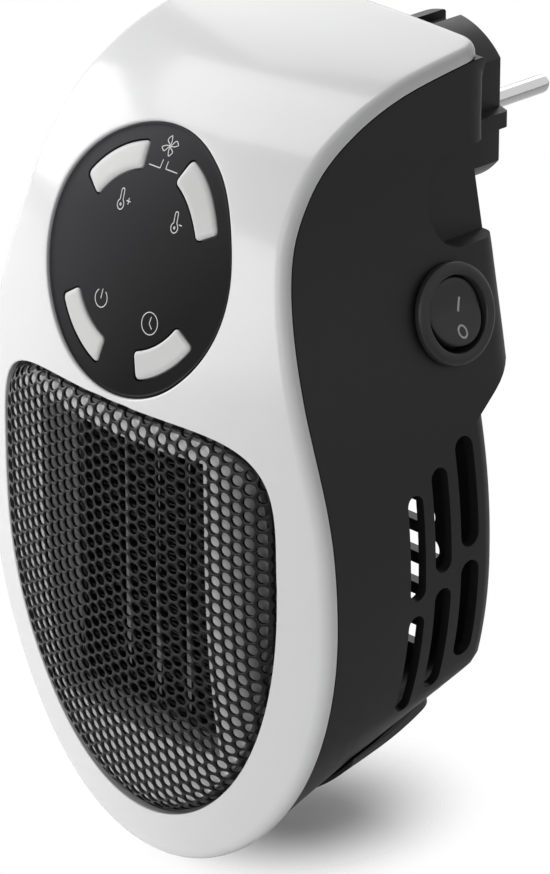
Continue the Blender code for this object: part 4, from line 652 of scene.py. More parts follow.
cell_x, cell_z, cell_inside = honeycomb()
hole = np.clip(cell_inside - HOLE_BORDER, SMALLEST_HOLE, HOLE_RADIUS)
half_pitch = np.full_like(hole, HOLE_PITCH / 2)
rings = []
for radius, hexagon, drop in ((half_pitch, True, 0.0), (hole + 0.13 * MM, False, 0.05 * MM),
                              (hole + 0.03 * MM, False, 0.16 * MM), (hole, False, 0.34 * MM),
                              (hole, False, SHEET_THICKNESS), (half_pitch, True, SHEET_THICKNESS)):
    rings.append(bend(*cell_ring(cell_x, cell_z, radius, hexagon), drop))
sheet_mesh = new_mesh("outlet_sheet", list(np.stack(rings, axis=1)), weld=0.02 * MM)
add_piece("outlet_sheet", sheet_mesh, "grille_coat", "heater_body", "outlet_grille", sharp=60.0)
print(len(cell_x), "cells")

# %% [markdown]
# ## The light surround and the heater
# A light plate follows the shell's face just behind the sheet. Its window has a wall that runs back to the
# heater, so the heater's fins lie in a shallow box whose left and lower sides show through the holes. Rays
# from the window's middle cross a rectangle and the outlet's outline, and the section along each ray is the
# same few corners. The fins are zigzag sheets: a path of folds with a small rectangle carried along it.

# %% The surround
PLATE_FRONT, SURROUND_EDGE, SURROUND_SINK, SURROUND_THICKNESS, SURROUND_WALL = (
    value * MM for value in (59.8, 2.2, 0.9, 1.2, 1.2))
HEATER_FRONT, HEATER_DEPTH, HEATER_HALF, HEATER_LOW, HEATER_TALL = (
    value * MM for value in (60.0, 7.4, 24.2, 32.6, 68.0))
window_middle = HEATER_LOW + HEATER_TALL / 2


def window_ring(turns, grow):
    """The heater's rectangle grown by grow, met by rays at the turns given."""
    half, tall = HEATER_HALF + REST_GAP + grow, HEATER_TALL / 2 + REST_GAP + grow
    side, up = (np.maximum(np.abs(way(turns)), 1e-9) for way in (np.cos, np.sin))
    reach = np.minimum(half / side, tall / up)
    return polar((0.0, window_middle), reach, turns)


corner_turn = math.atan2(HEATER_TALL, 2 * HEATER_HALF)
corner_turns = (corner_turn, -corner_turn, math.pi - corner_turn, corner_turn - math.pi)
even_turns = np.linspace(-math.pi, math.pi, 240, endpoint=False)
plate_turns = np.sort(np.concatenate((even_turns, corner_turns)))
outer_edge = ray_start(opening_outline(-SURROUND_EDGE), np.array((0.0, window_middle)),
                       window_ring(plate_turns, 0.0), 0.0)


def shell_depth(plan, sink):
    """The points of a plan (x, z) at a depth behind the shell's face."""
    x, z = plan.T
    return np.stack((x, front(x, run_of(x, z))[:, 1] + sink, z), axis=1)


def flat_depth(plan, depth):
    """The points of a plan (x, z) in one upright plane."""
    return np.stack((plan[:, 0], np.full(len(plan), depth), plan[:, 1]), axis=1)


plate_rows = [flat_depth(window_ring(plate_turns, 0.0), -PLATE_FRONT - REST_GAP)]
for grow, drop in ((0.0, 0.5), (0.04, 0.25), (0.15, 0.08), (0.4, 0.0)):
    plate_rows.append(shell_depth(window_ring(plate_turns, grow * MM), SURROUND_SINK + drop * MM))
inner_edge = window_ring(plate_turns, 0.4 * MM)
for share in (0.25, 0.5, 0.75, 1.0):
    plate_rows.append(shell_depth(inner_edge + share * (outer_edge - inner_edge), SURROUND_SINK))
plate_rows.append(shell_depth(outer_edge, SURROUND_SINK + SURROUND_THICKNESS))
plate_rows.append(shell_depth(window_ring(plate_turns, SURROUND_WALL), SURROUND_SINK + SURROUND_THICKNESS))
plate_rows.append(flat_depth(window_ring(plate_turns, SURROUND_WALL), -PLATE_FRONT - REST_GAP))
plate_rows.append(plate_rows[0])
surround_mesh = new_mesh("light_surround", [np.array(plate_rows)])
add_piece("light_surround", surround_mesh, "surround_pale_painted_shade", "heater_body", "outlet_surround")

# %% The folded fins
FIN_FOLDS, FIN_SHEET, FIN_FRAME, STRIP_PITCH, STRIP_THICKNESS = 34, 0.25 * MM, 1.4 * MM, 9.4 * MM, 1.3 * MM
fin_edges = [FIN_FRAME - HEATER_HALF, -STRIP_PITCH, 0.0, STRIP_PITCH, HEATER_HALF - FIN_FRAME]
for number, (left, right) in enumerate(zip(fin_edges, fin_edges[1:]), 1):
    left += REST_GAP + (STRIP_THICKNESS / 2 if number > 1 else 0.0)
    right -= REST_GAP + (STRIP_THICKNESS / 2 if number < 4 else 0.0)
    path_z = np.linspace(HEATER_LOW + FIN_FRAME + REST_GAP, HEATER_LOW + HEATER_TALL - FIN_FRAME - REST_GAP,
                         2 * FIN_FOLDS + 1)
    path_x = np.where(np.arange(len(path_z)) % 2 == 0, left, right)
    section = ((-HEATER_FRONT, 0.0), (-HEATER_FRONT, FIN_SHEET),
               (HEATER_DEPTH - HEATER_FRONT, FIN_SHEET), (HEATER_DEPTH - HEATER_FRONT, 0.0))
    folds = [[(x, y, z + lift) for y, lift in section] for x, z in zip(path_x, path_z - FIN_SHEET / 2)]
    add_piece(f"fins_{number}", new_mesh("fins", [capped(folds)]), "fin_dark", "heater_body",
              f"fin_block_{number}", sharp=20.0)

# %% [markdown]
# ## The control panel
# The panel is a round disc that follows the shell's face, a little below it, with a thin raised bead round
# its rim and four openings for the keys. Its section is a table of radius and depth. The openings are cut
# with Boolean steps, which are worked out once, so that the sharp edges of the cut can be marked
# afterwards.

# %% Cutting one mesh with others
def carve(name, mesh, steps):
    """The mesh after a list of Boolean steps (operation, other mesh), as plain geometry."""
    target = bpy.data.objects.new(name + "_blank", mesh)
    bpy.context.scene.collection.objects.link(target)
    others = []
    for operation, other in steps:
        tool = bpy.data.objects.new(name + "_tool", other)
        bpy.context.scene.collection.objects.link(tool)
        cut = target.modifiers.new("cut", "BOOLEAN")
        cut.operation, cut.object, cut.solver = operation, tool, "MANIFOLD"
        others.append(tool)
    bpy.context.view_layer.update()
    result = bpy.data.meshes.new_from_object(target.evaluated_get(bpy.context.evaluated_depsgraph_get()))
    result.name = name
    for spare in (target, *others):
        blank = spare.data
        bpy.data.objects.remove(spare)
        bpy.data.meshes.remove(blank)
    return result


# %% The panel's own frame
PANEL_SINK, PANEL_THICKNESS, PANEL_DISH = 0.9 * MM, 2.0 * MM, 0.9 * MM
KEY_INNER, KEY_OUTER, KEY_SPAN, KEY_GAP = 17.6 * MM, 23.1 * MM, math.radians(21.5), 0.35 * MM
KEY_CUT = 9.0 * MM
KEYS = {"button_power": ("power_key", 233), "button_timer": ("timer_key", 306),
        "button_temp_up": ("temp_up_key", 125), "button_temp_down": ("temp_down_key", 49)}

chord = [front(0.0, panel_run + way * PANEL_HALF_RUN) for way in (-1, 1)]
panel_up = (chord[1] - chord[0]) / np.linalg.norm(chord[1] - chord[0])
panel_out = np.array((0.0, -panel_up[2], panel_up[1]))
panel_middle = (chord[0] + chord[1]) / 2


def on_panel(across, up, sink):
    """The shell's face at a place of the panel's own plane, sunk along the panel's outward direction."""
    run = panel_run + up * PANEL_HALF_RUN / PANEL_HALF_WIDTH
    return front(across, run) - np.asarray(sink)[..., None] * panel_out


def panel_face(across, up, lift=0.0):
    """The panel's visible face: sunk evenly, and dished by a parabola that is zero at the rim."""
    share = np.hypot(across, up) / PANEL_HALF_WIDTH
    return on_panel(across, up, PANEL_SINK + PANEL_DISH * np.maximum(1 - share**2, 0) - lift)


def to_depth(points, depth):
    """Points moved along the panel's outward direction to the plane at a depth behind its rim."""
    return points - ((points - panel_middle) @ panel_out + depth)[..., None] * panel_out


# %% The keys' outlines
def key_outline(angle, grow, shrink=1.0, corner=0.9 * MM, count=12):
    """A ring sector with rounded corners: a rounded rectangle wrapped round the panel's middle."""
    middle = (KEY_INNER + KEY_OUTER) / 2
    half_arc, half_wide = KEY_SPAN * middle + grow, (KEY_OUTER - KEY_INNER) / 2 + grow
    corner += max(grow, 0.0)
    turn = np.linspace(0, math.pi / 2, 5)
    share = np.linspace(0, 1, count)[1:-1, None]
    signs = ((1, 1), (-1, 1), (-1, -1), (1, -1))
    centres = [(right * (half_arc - corner), out * (half_wide - corner)) for right, out in signs]
    rounds = [polar(centre, corner, turn + number * math.pi / 2) for number, centre in enumerate(centres)]
    loop = []
    for bent, following in zip(rounds, rounds[1:] + rounds[:1]):
        loop += [bent, bent[-1] + (following[0] - bent[-1]) * share]
    arc, wide = (np.concatenate(loop) * shrink).T
    theta = math.radians(angle) + arc / middle
    return (middle + wide) * np.cos(theta), (middle + wide) * np.sin(theta)


def key_opening(angle):
    """A cutter through the panel along its outward direction, over a key's outline grown by the gap."""
    across, up = key_outline(angle, KEY_GAP)
    rim = on_panel(across, up, np.zeros_like(across))
    return prism(to_depth(rim, KEY_CUT), to_depth(rim, -KEY_CUT))


# %% The panel and its keys
PANEL_SECTION = ((26.9, 2.0), (26.9, 0.0), (26.85, -0.16), (26.72, -0.26), (26.56, -0.28), (26.42, -0.22),
                 (26.32, -0.1), (26.22, -0.03), (26.05, 0.0))
spin = np.linspace(0, 2 * math.pi, 240, endpoint=False)
disc = []
for radius, drop in PANEL_SECTION:
    disc.append(panel_face(radius * MM * np.cos(spin), radius * MM * np.sin(spin), -drop * MM))
for share in np.linspace(0.96, 0, 26) * PANEL_SECTION[-1][0] * MM:
    disc.append(panel_face(share * np.cos(spin), share * np.sin(spin)))
for share in np.linspace(0, 1, 14) * PANEL_SECTION[0][0] * MM:
    disc.append(panel_face(share * np.cos(spin), share * np.sin(spin), -PANEL_THICKNESS))
blank = new_mesh("panel_blank", [np.array(disc)])
panel_mesh = carve("panel_disc", blank, [("DIFFERENCE", key_opening(angle)) for _, angle in KEYS.values()])
add_piece("panel_disc", panel_mesh, "panel_black_painted_light", "heater_body", "control_panel", sharp=30.0)

KEY_SINK, KEY_BACK, KEY_ROUND, KEY_DROP = 0.85 * MM, 4.0 * MM, 1.0 * MM, 0.7 * MM
for name, (body, angle) in KEYS.items():
    rows = [to_depth(on_panel(*key_outline(angle, 0.0, share), 0.0), KEY_BACK) for share in (0.0, 1.0)]
    for turn in np.radians(np.linspace(0, 90, 7)):
        inset, drop = KEY_ROUND * (1 - math.cos(turn)), KEY_DROP * (1 - math.sin(turn))
        rows.append(on_panel(*key_outline(angle, -inset), KEY_SINK + drop))
    rows += [on_panel(*key_outline(angle, -KEY_ROUND, share), KEY_SINK) for share in (0.85, 0.6, 0.3, 0.0)]
    add_piece(name.replace("button", "key"), new_mesh(name, [np.array(rows)]), "key_paint", body, name)

# %% [markdown]
# ## The printed signs
# Each sign is a few strokes in the panel's plane. A stroke is a flat bar that follows a line of points:
# four corners per point, two a hair above the panel's face and two a hair below it, pinched together at
# both ends.

# %% Strokes
def stroke(points, width, place, height=0.03 * MM):
    """A bar of a width along a line (across, up), laid on a face given by place(across, up, lift)."""
    points = np.asarray(points, float) * MM
    way = np.gradient(points, axis=0)
    way /= np.maximum(np.linalg.norm(way, axis=1), 1e-12)[:, None]
    side = np.stack((-way[:, 1], way[:, 0]), axis=1) * width / 2
    rows = [place(*(points + sign * side).T, np.full(len(points), lift))
            for sign, lift in ((1, height), (-1, height), (-1, -height), (1, -height))]
    return capped(np.stack(rows, axis=1))


def arc(middle, radius, start, stop, count=28):
    """Points of an arc, its angles in degrees."""
    turn = np.radians(np.linspace(start, stop, count))
    return polar(middle, radius, turn)


def line(*corners):
    """Points along straight lines, close together so that the bar keeps its width round the corners."""
    corners = np.asarray(corners, float)
    share = np.linspace(0, 1, 12)[:, None]
    return np.concatenate([a + (b - a) * share for a, b in zip(corners[:-1], corners[1:])])


def thermometer(x, y):
    """An outlined bulb and stem with a dot in the bulb."""
    stem = 0.42
    bulb = arc((x, y), 0.95, 118, 422)
    cap = arc((x - 0.2, y + 2.5), stem, 0, 180, 12)
    return [np.concatenate((bulb, cap, bulb[:1])), arc((x, y), 0.2, 0, 360, 12)]


def fan_sign(x, y, size=2.15):
    """Four outlined blades, each a leaf from the middle whose width is a sine of the way along it."""
    blades = []
    along = np.linspace(0, 1, 16)
    for turn in np.radians(18 + 90 * np.arange(4)):
        leaf = np.concatenate((np.stack((along, 0.42 * np.sin(math.pi * along**1.6)), axis=1),
                               np.stack((along, -0.1 * np.sin(math.pi * along)), axis=1)[::-1])) * size
        spun = leaf @ np.array(((math.cos(turn), math.sin(turn)), (-math.sin(turn), math.cos(turn))))
        blades.append(spun + (x, y))
    return blades


SIGN_STROKE = 0.19 * MM
level_marks = [line((-3.0, 18.1), (0.3, 18.1), (0.3, 19.8)), line((1.8, 19.8), (1.9, 18.3), (5.3, 18.3))]
warmer_sign = [line((-5.9, 10.6), (-4.7, 10.6)), line((-5.3, 10.0), (-5.3, 11.2)), *thermometer(-7.4, 9.6)]
cooler_sign = [line((10.1, 9.9), (10.9, 9.9)), *thermometer(9.0, 9.1)]
power_sign = [arc((-7.8, -9.5), 1.85, 125, 415), line((-7.7, -7.6), (-7.9, -9.6))]
clock_sign = [arc((7.3, -10.6), 2.25, 0, 360, 40), line((7.5, -9.2), (7.2, -10.6), (8.1, -11.6))]
lines = level_marks + warmer_sign + cooler_sign + power_sign + clock_sign + fan_sign(0.5, 22.7)
signs = [stroke(points, SIGN_STROKE, panel_face) for points in lines]
add_piece("panel_signs", new_mesh("panel_signs", signs, weld=0.0005 * MM), "print_white", "heater_body")

# %% [markdown]
# ## The black housing
# The housing is a bowl. Seen from behind, each point of its rim lies at an angle round the middle line, and
# at every depth the skin's distance from that line is found by halving, the way a lathe would feel for it.
# The back steps in below a sloped ledge, the underside is cut by a rising bevel, and the openings are cut
# with prisms.

# %% The bowl
HOUSING_WALL, HOUSING_CORNER, STEP_CORNER, WIDE_CORNER = 2.2 * MM, 5.0 * MM, 7.0 * MM, 9.0 * MM
BEVEL_RISE, CREASE_HEIGHT, CREASE_RISE, TOP_GAP = 29.0 * MM, 38.0 * MM, 10.5 * MM, 0.7 * MM
BACK_STEP, STEP_HEIGHT, STEP_SLOPE, OVERRUN = 11.2 * MM, 105.0 * MM, 8.0 * MM, 10.0 * MM


def half_width(y, z):
    """Half the housing's width at depth y: the outline, cut below the crease by the bevel's ellipse."""
    egg = outline_half_width(z)
    rise = np.clip((y - SEAM["y"][0]) / (-BACK_STEP - SEAM["y"][0]), 0, 1)
    crease = CREASE_HEIGHT + CREASE_RISE * rise**2
    tall = WIDEST_HEIGHT - BEVEL_RISE * rise
    wide = outline_half_width(crease) / np.sqrt(1 - ((WIDEST_HEIGHT - crease) / tall) ** 2)
    bevel = wide * np.sqrt(np.clip(1 - ((WIDEST_HEIGHT - z) / tall) ** 2, 0, 1))
    return np.where(z < crease, np.minimum(egg, bevel), egg)


def rim_points():
    """The housing's rim from the bottom round the right side, a gap below the shell's."""
    low = run_at(WIDEST_HEIGHT * (1 + np.sin(np.linspace(-math.pi / 2, 0, 48))))
    run = np.concatenate((low, np.linspace(run_at(WIDEST_HEIGHT), RUN_END - SHELL_CORNER, 80)[1:]))
    z, y = seam("z", run) - seam("nz", run) * REST_GAP, seam("y", run) - seam("ny", run) * REST_GAP
    x = outline_half_width(z)
    x[0], z[0] = 0.0, 0.0
    top = np.stack((np.linspace(TOP_WIDTH / 2, 0, 16), np.full(16, -1.6 * HOUSING_WALL),
                    np.full(16, BODY_HEIGHT - TOP_GAP)), axis=1)
    right = np.concatenate((np.stack((x, y, z), axis=1), top))
    return np.concatenate((right, right[-2:0:-1] * (-1, 1, 1)))


def reach(angle, y, inset):
    """The skin's distance from the middle line, by halving; outwards it moves straight."""
    if inset < 0:
        return reach(angle, y, 0.0) - inset
    low, high = np.zeros_like(angle), np.full_like(angle, BODY_HEIGHT)
    for _ in range(26):
        middle = (low + high) / 2
        x, z = middle * np.cos(angle), WIDEST_HEIGHT + middle * np.sin(angle)
        inside = (np.abs(x) < half_width(y, z) - inset) & (z < BODY_HEIGHT - TOP_GAP - inset)
        low, high = np.where(inside, middle, low), np.where(inside, high, middle)
    return low


rim = rim_points()
rim_angle = np.arctan2(rim[:, 2] - WIDEST_HEIGHT, rim[:, 0])


def bowl(inset, back, low_corner, high_corner, front=None):
    """Rows of the skin from its rim, or a flat front, round the back's edge to the middle of the back."""
    start = rim[:, 1] if front is None else np.full_like(rim_angle, front)
    corner = np.interp(rim[:, 2], (STEP_HEIGHT, PANEL_HEIGHT), (low_corner, high_corner))
    corner = np.minimum(np.maximum(corner - inset, HOUSING_WALL / 2), 0.45 * (back - start))
    rows = []
    for share in np.linspace(0, 1, 13)[:-1]:
        depth = start + share * (back - corner - start)
        rows.append((reach(rim_angle, depth, inset), depth))
    for turn in np.radians(np.linspace(0, 90, 9)):
        depth = back - corner + corner * math.sin(turn)
        rows.append((reach(rim_angle, depth, inset) - corner * (1 - math.cos(turn)), depth))
    rows += [(rows[-1][0] * share, rows[-1][1]) for share in (0.7, 0.35, 0.0)]
    side, up = np.cos(rim_angle), np.sin(rim_angle)
    return np.array([np.stack((far * side, depth, WIDEST_HEIGHT + far * up), -1) for far, depth in rows])


def solid_bowl(inset, back, low_corner, high_corner, front=None):
    """The same rows closed in front by a point, as a solid."""
    rows = bowl(inset, back, low_corner, high_corner, front)
    point = (0.0, -BODY_DEPTH - OVERRUN if front is None else front, WIDEST_HEIGHT)
    return new_mesh("bowl", [np.concatenate((np.broadcast_to(point, rows[:1].shape), rows))])


def across_prism(outline, near, far, lean=0.0, middle=0.0):
    """A prism along x over an outline (y, z), leaning with height."""
    outline = np.asarray(outline, float)
    slide = lean * (outline[:, 1] - middle)
    return prism(*(np.stack((x + slide, outline[:, 0], outline[:, 1]), axis=1) for x in (near, far)))


def deep_prism(outline, near, far):
    """A prism along y over an outline (x, z)."""
    return prism(*(flat_depth(outline, y) for y in (near, far)))


# %% [markdown]
# The finger notches are half-round recesses that lean with the side wall, the air slots are round-ended,
# and the fan's intake behind is a round field of level slots. A slot's cutter is one prism through both
# side walls.

# %% Notches, slots and holes
NOTCH_LOW, NOTCH_HIGH, NOTCH_FRONT, NOTCH_DEPTH = 137 * MM, 156.8 * MM, 18.6 * MM, 4.5 * MM
NOTCH_LEAN, NOTCH_STRETCH = -0.21, 0.8
SLOT_COLUMNS = ((35.2, 2.2, 40.8, 64.7, 68.2, 91.8), (27.8, 2.35, 44.7, 68.8, 72.5, 95.7),
                (20.0, 2.6, 50.0, 72.8, 76.0, 100.2))
INTAKE_RADIUS, INTAKE_PITCH, INTAKE_SLOT, INTAKE_ROWS = 40.0 * MM, 7.3 * MM, 4.6 * MM, 8
FAN_HEIGHT, PLUG_HEIGHT, NECK_RADIUS, SCREW_HOLE = 64.0 * MM, 150.8 * MM, 14.0 * MM, 1.6 * MM
SCREW_PLACES = ((28.0 * MM, 165.5 * MM), (-28.0 * MM, 165.5 * MM))


def ledge_prism(front, lift):
    """Everything behind a depth and below the sloped ledge, raised by lift."""
    slope = STEP_SLOPE / BACK_STEP
    sides = [(y, STEP_HEIGHT + lift + slope * (y + BACK_STEP)) for y in (OVERRUN, front)]
    return across_prism([(front, -OVERRUN), (OVERRUN, -OVERRUN), *sides], -BODY_WIDTH, BODY_WIDTH)


def notch(grow, side):
    """One finger notch grown evenly: half an ellipse that opens to the back."""
    low, high = NOTCH_LOW - grow, NOTCH_HIGH + grow
    half, middle = (high - low) / 2, (low + high) / 2
    turns = np.linspace(math.pi / 2, 3 * math.pi / 2, 33)
    long = NOTCH_STRETCH * half
    start = long - NOTCH_FRONT - grow
    outline = [(start + long * math.cos(turn), middle + half * math.sin(turn)) for turn in turns]
    outline += [(OVERRUN, low), (OVERRUN, high)]
    floor = float(outline_half_width(middle)) - NOTCH_DEPTH - grow
    near, far = (side * value for value in (floor, floor + OVERRUN))
    return across_prism(outline, near, far, side * NOTCH_LEAN, middle)


def capsule(middle, half_wide, low, high, count=14):
    """An upright slot's outline with round ends."""
    turn = np.linspace(0, math.pi, count)
    return np.concatenate((polar((middle, high - half_wide), half_wide, turn),
                           polar((middle, low + half_wide), half_wide, turn + math.pi)))


wall = HOUSING_WALL
skins = np.concatenate((bowl(0.0, 0.0, WIDE_CORNER, HOUSING_CORNER)[::-1],
                        bowl(wall, -wall, WIDE_CORNER, HOUSING_CORNER)))
housing_mesh = new_mesh("housing", [skins])
step_front = -BACK_STEP - STEP_CORNER - wall
filler = carve("filler", ledge_prism(step_front - wall, wall * math.hypot(1.0, STEP_SLOPE / BACK_STEP)),
               [("INTERSECT", solid_bowl(wall / 2, -wall / 2, WIDE_CORNER, HOUSING_CORNER))])
outside = carve("outside", ledge_prism(step_front, 0.0), [("DIFFERENCE", solid_bowl(
    -REST_GAP / 4, -BACK_STEP + REST_GAP / 4, STEP_CORNER, STEP_CORNER, step_front - wall))])
hollow = solid_bowl(wall + REST_GAP, -BACK_STEP - wall - REST_GAP, STEP_CORNER, STEP_CORNER,
                    step_front - 1.2 * wall)
steps = [("UNION", filler), ("DIFFERENCE", outside), ("DIFFERENCE", hollow)]
for side in (1, -1):
    block = carve("notch_wall", notch(wall, side),
                  [("INTERSECT", solid_bowl(wall / 3, -wall / 3, WIDE_CORNER, HOUSING_CORNER))])
    steps += [("UNION", block), ("DIFFERENCE", notch(0.0, side))]
cuts = []
for back, half_wide, *ends in SLOT_COLUMNS:
    for low, high in (ends[:2], ends[2:]):
        slot = capsule(-back * MM, half_wide * MM, low * MM, high * MM)
        cuts.append(across_prism(slot, -BODY_WIDTH, BODY_WIDTH))
for row in range(INTAKE_ROWS):
    rise = (row - (INTAKE_ROWS - 1) / 2) * INTAKE_PITCH
    flat = float(half_width(-BACK_STEP, FAN_HEIGHT + rise - INTAKE_SLOT / 2)) - STEP_CORNER
    half = min(math.sqrt(INTAKE_RADIUS**2 - rise**2) - INTAKE_SLOT / 2, flat)
    slot = capsule(FAN_HEIGHT + rise, INTAKE_SLOT / 2, -half, half)[:, ::-1]
    cuts.append(deep_prism(slot, -BACK_STEP - OVERRUN, OVERRUN))
ring_turn = np.linspace(0, 2 * math.pi, 64, endpoint=False)
round_holes = [polar((0, PLUG_HEIGHT), NECK_RADIUS + REST_GAP, ring_turn)]
round_holes += [polar(place, SCREW_HOLE, ring_turn[::2]) for place in SCREW_PLACES]
cuts += [deep_prism(outline, -wall - REST_GAP, OVERRUN) for outline in round_holes]
print(len(cuts), "openings besides the notches")

# %% [markdown]
# ## The rocker switch
# The switch is a barrel with a round flange, set square to the side wall, so it has a frame of its own:
# backwards, upwards and outwards. Its body is one turned section. The rocker's face is a shallow V whose
# valley is rounded by a hyperbola, and the whole rocker is turned about its pivot to its resting position.

# %% The switch's frame and its pieces
SWITCH_BACK, SWITCH_HEIGHT, SWITCH_FLANGE, PIVOT_DEPTH = 17.1 * MM, 124.9 * MM, 10.9 * MM, 3.0 * MM
ROCKER_RADIUS, ROCKER_VALLEY, ROCKER_TOP, VALLEY_ROUND = 7.25 * MM, 0.8 * MM, 2.0 * MM, 1.2 * MM
ROCKER_TILT, FACE_SKIN, MARK_LIFT = math.radians(7.0), 0.6 * MM, 0.02 * MM

wide_high, wide_low = (float(outline_half_width(SWITCH_HEIGHT + way * SWITCH_FLANGE)) for way in (1, -1))
switch_lean = math.atan2(wide_low - wide_high, 2 * SWITCH_FLANGE)
switch_out = np.array((math.cos(switch_lean), 0.0, math.sin(switch_lean)))
switch_up = np.array((-math.sin(switch_lean), 0.0, math.cos(switch_lean)))
switch_middle = np.array(((wide_low + wide_high) / 2, -SWITCH_BACK, SWITCH_HEIGHT)) + REST_GAP * switch_out


def on_switch(back, up, out):
    """Points of the switch's own frame."""
    back, up, out = (np.asarray(value, float)[..., None] for value in (back, up, out))
    return switch_middle + back * np.array((0.0, 1.0, 0.0)) + up * switch_up + out * switch_out


def turned(section, place, count=96):
    """A turned solid: a section of (radius, height) in mm, with place(a, b, height) giving its points."""
    turn = np.linspace(0, 2 * math.pi, count, endpoint=False)
    side, up = MM * np.cos(turn), MM * np.sin(turn)
    return np.array([place(far * side, far * up, np.full(count, high * MM)) for far, high in section])


SWITCH_HOLE = ((9.7, -10), (9.7, 10))
cuts.append(prism(*turned(SWITCH_HOLE, on_switch)))
steps += [("DIFFERENCE", cut) for cut in cuts]
black_housing = carve("black_housing", housing_mesh, steps)
add_piece("black_housing", black_housing, "housing_black", "heater_body", "rear_housing", sharp=32.0)

SWITCH_SECTION = ((0, -13.5), (9.4, -13.5), (9.4, 0.3), (10.9, 0.3), (10.9, 1.1), (10.8, 1.45), (10.5, 1.75),
                  (10.1, 1.93), (9.7, 2.0), (8.6, 2.0), (8.35, 1.93), (8.17, 1.75), (8.1, 1.5), (8.1, -7.5),
                  (0, -7.5))
add_piece("switch_case", new_mesh("switch_case", [turned(SWITCH_SECTION, on_switch)]), "switch_gloss",
          "heater_body", "switch_body", sharp=50.0)


def rocker_place(back, up, out):
    """A point of the rocker: its height follows the V, then it is turned about the pivot's level line."""
    rise = (np.sqrt(up**2 + VALLEY_ROUND**2) - VALLEY_ROUND) / ROCKER_RADIUS
    vee = ROCKER_VALLEY + (ROCKER_TOP - ROCKER_VALLEY) * rise
    height = np.where(out > -FACE_SKIN, vee + out, out) + PIVOT_DEPTH
    side, ahead = math.sin(ROCKER_TILT), math.cos(ROCKER_TILT)
    return on_switch(back, up * ahead + height * side, height * ahead - up * side - PIVOT_DEPTH)


ROCKER_SECTION = ((0, -6), (5, -6), (7.6, -3), (7.25, -0.5), (7.2, -0.25), (7.05, -0.08), (6.8, 0),
                  (6, 0), (5, 0), (4, 0), (3, 0), (2, 0), (1, 0), (0, 0))
add_piece("rocker", new_mesh("rocker", [turned(ROCKER_SECTION, rocker_place)]), "switch_gloss", "rocker",
          "switch_rocker", sharp=50.0)
marks = [stroke(line((0.9, -0.2), (2.0, 2.6)), 0.5 * MM, rocker_place, MARK_LIFT),
         stroke(arc((0.2, -4.2), 1.25, 0, 360, 40) * (0.85, 1.05), 0.46 * MM, rocker_place, MARK_LIFT)]
add_piece("rocker_marks", new_mesh("rocker_marks", marks, weld=0.0005 * MM), "print_white", "rocker")

# %% [markdown]
# ## Plug, pins and pad
# The plug's outline is a circle with two upright flats, a low rib on each and a notch above and below. The
# pins are turned steel with domed tips. The rubber pad under the body follows the bevel, thicker and
# rounder to the rear.

# %% The plug and its pins
PLUG_RADIUS, PLUG_FLAT, NOTCH_HALF, NOTCH_DEEP, RIB_HALF, RIB_RISE, RIB_DROP = (
    value * MM for value in (18.5, 14.4, 2.5, 2.4, 1.8, 2.2, 1.6))
PLUG_SECTION = ((-2, 0.3), (0, 0.3), (0, 13), (0, 26.2), (-0.1, 26.55), (-0.35, 26.85), (-0.7, 27), (-2, 27))
PIN_RADIUS, PIN_ROOT, PIN_SHOULDER, PIN_PLACES = 2.0, 15.0, 44.0, {"right": 9.5 * MM, "left": -9.5 * MM}


def plug_outline(grow):
    """The plug's outline (x, z) from the right flat's rib round the top, grown evenly."""
    radius, flat = PLUG_RADIUS + grow, PLUG_FLAT + grow
    start, end = math.asin(NOTCH_HALF / radius), math.acos(flat / radius)
    quarter = polar((0, 0), radius, np.linspace(end, math.pi / 2 - start, 24))
    floor = radius * math.cos(start) - NOTCH_DEEP
    dip = np.array(((NOTCH_HALF, floor + 0.4 * MM), (NOTCH_HALF - 0.4 * MM, floor)))
    slope = RIB_RISE / 4
    rib = np.array(((flat, -RIB_DROP - RIB_HALF - slope), (flat + RIB_RISE, -RIB_DROP - RIB_HALF),
                    (flat + RIB_RISE, -RIB_DROP + RIB_HALF), (flat, -RIB_DROP + RIB_HALF + slope)))
    top = np.concatenate((quarter, dip))
    half = np.concatenate((rib, top, top[::-1] * (-1, 1), rib[::-1] * (-1, 1)))
    return np.concatenate((half, -top, top[::-1] * (1, -1))) + (0, PLUG_HEIGHT)


def behind(middle):
    """The place function of a solid turned about an axis that runs backwards through middle (x, z)."""
    return lambda a, b, depth: np.stack((middle[0] + a, depth, middle[1] + b), axis=-1)


PLUG_NECK, PIN_BORE = ((14, -11.2), (14, 0.9)), ((2.3, 14.7), (2.3, 37))
plug_cuts = [("UNION", prism(*turned(PLUG_NECK, behind((0, PLUG_HEIGHT)))))]
plug_cuts += [("DIFFERENCE", prism(*turned(PIN_BORE, behind((x, PLUG_HEIGHT)), 40)))
              for x in PIN_PLACES.values()]
plug_rows = [flat_depth(plug_outline(grow * MM), depth * MM) for grow, depth in PLUG_SECTION]
plug_mesh = carve("plug", new_mesh("plug_blank", [capped(plug_rows)]), plug_cuts)
add_piece("plug", plug_mesh, "plug_black", "heater_body", "plug_body", sharp=32.0)

pin_section = [(0, PIN_ROOT), (PIN_RADIUS, PIN_ROOT)]
pin_section += [(PIN_RADIUS * math.cos(turn), PIN_SHOULDER + PIN_RADIUS * math.sin(turn))
                for turn in np.radians((0, 20, 40, 60, 75, 90))]
for side, x in PIN_PLACES.items():
    pin_mesh = new_mesh("pin", [turned(pin_section, behind((x, PLUG_HEIGHT)))])
    add_piece("pin_" + side, pin_mesh, "pin_chrome", "heater_body", "plug_pin_" + side)

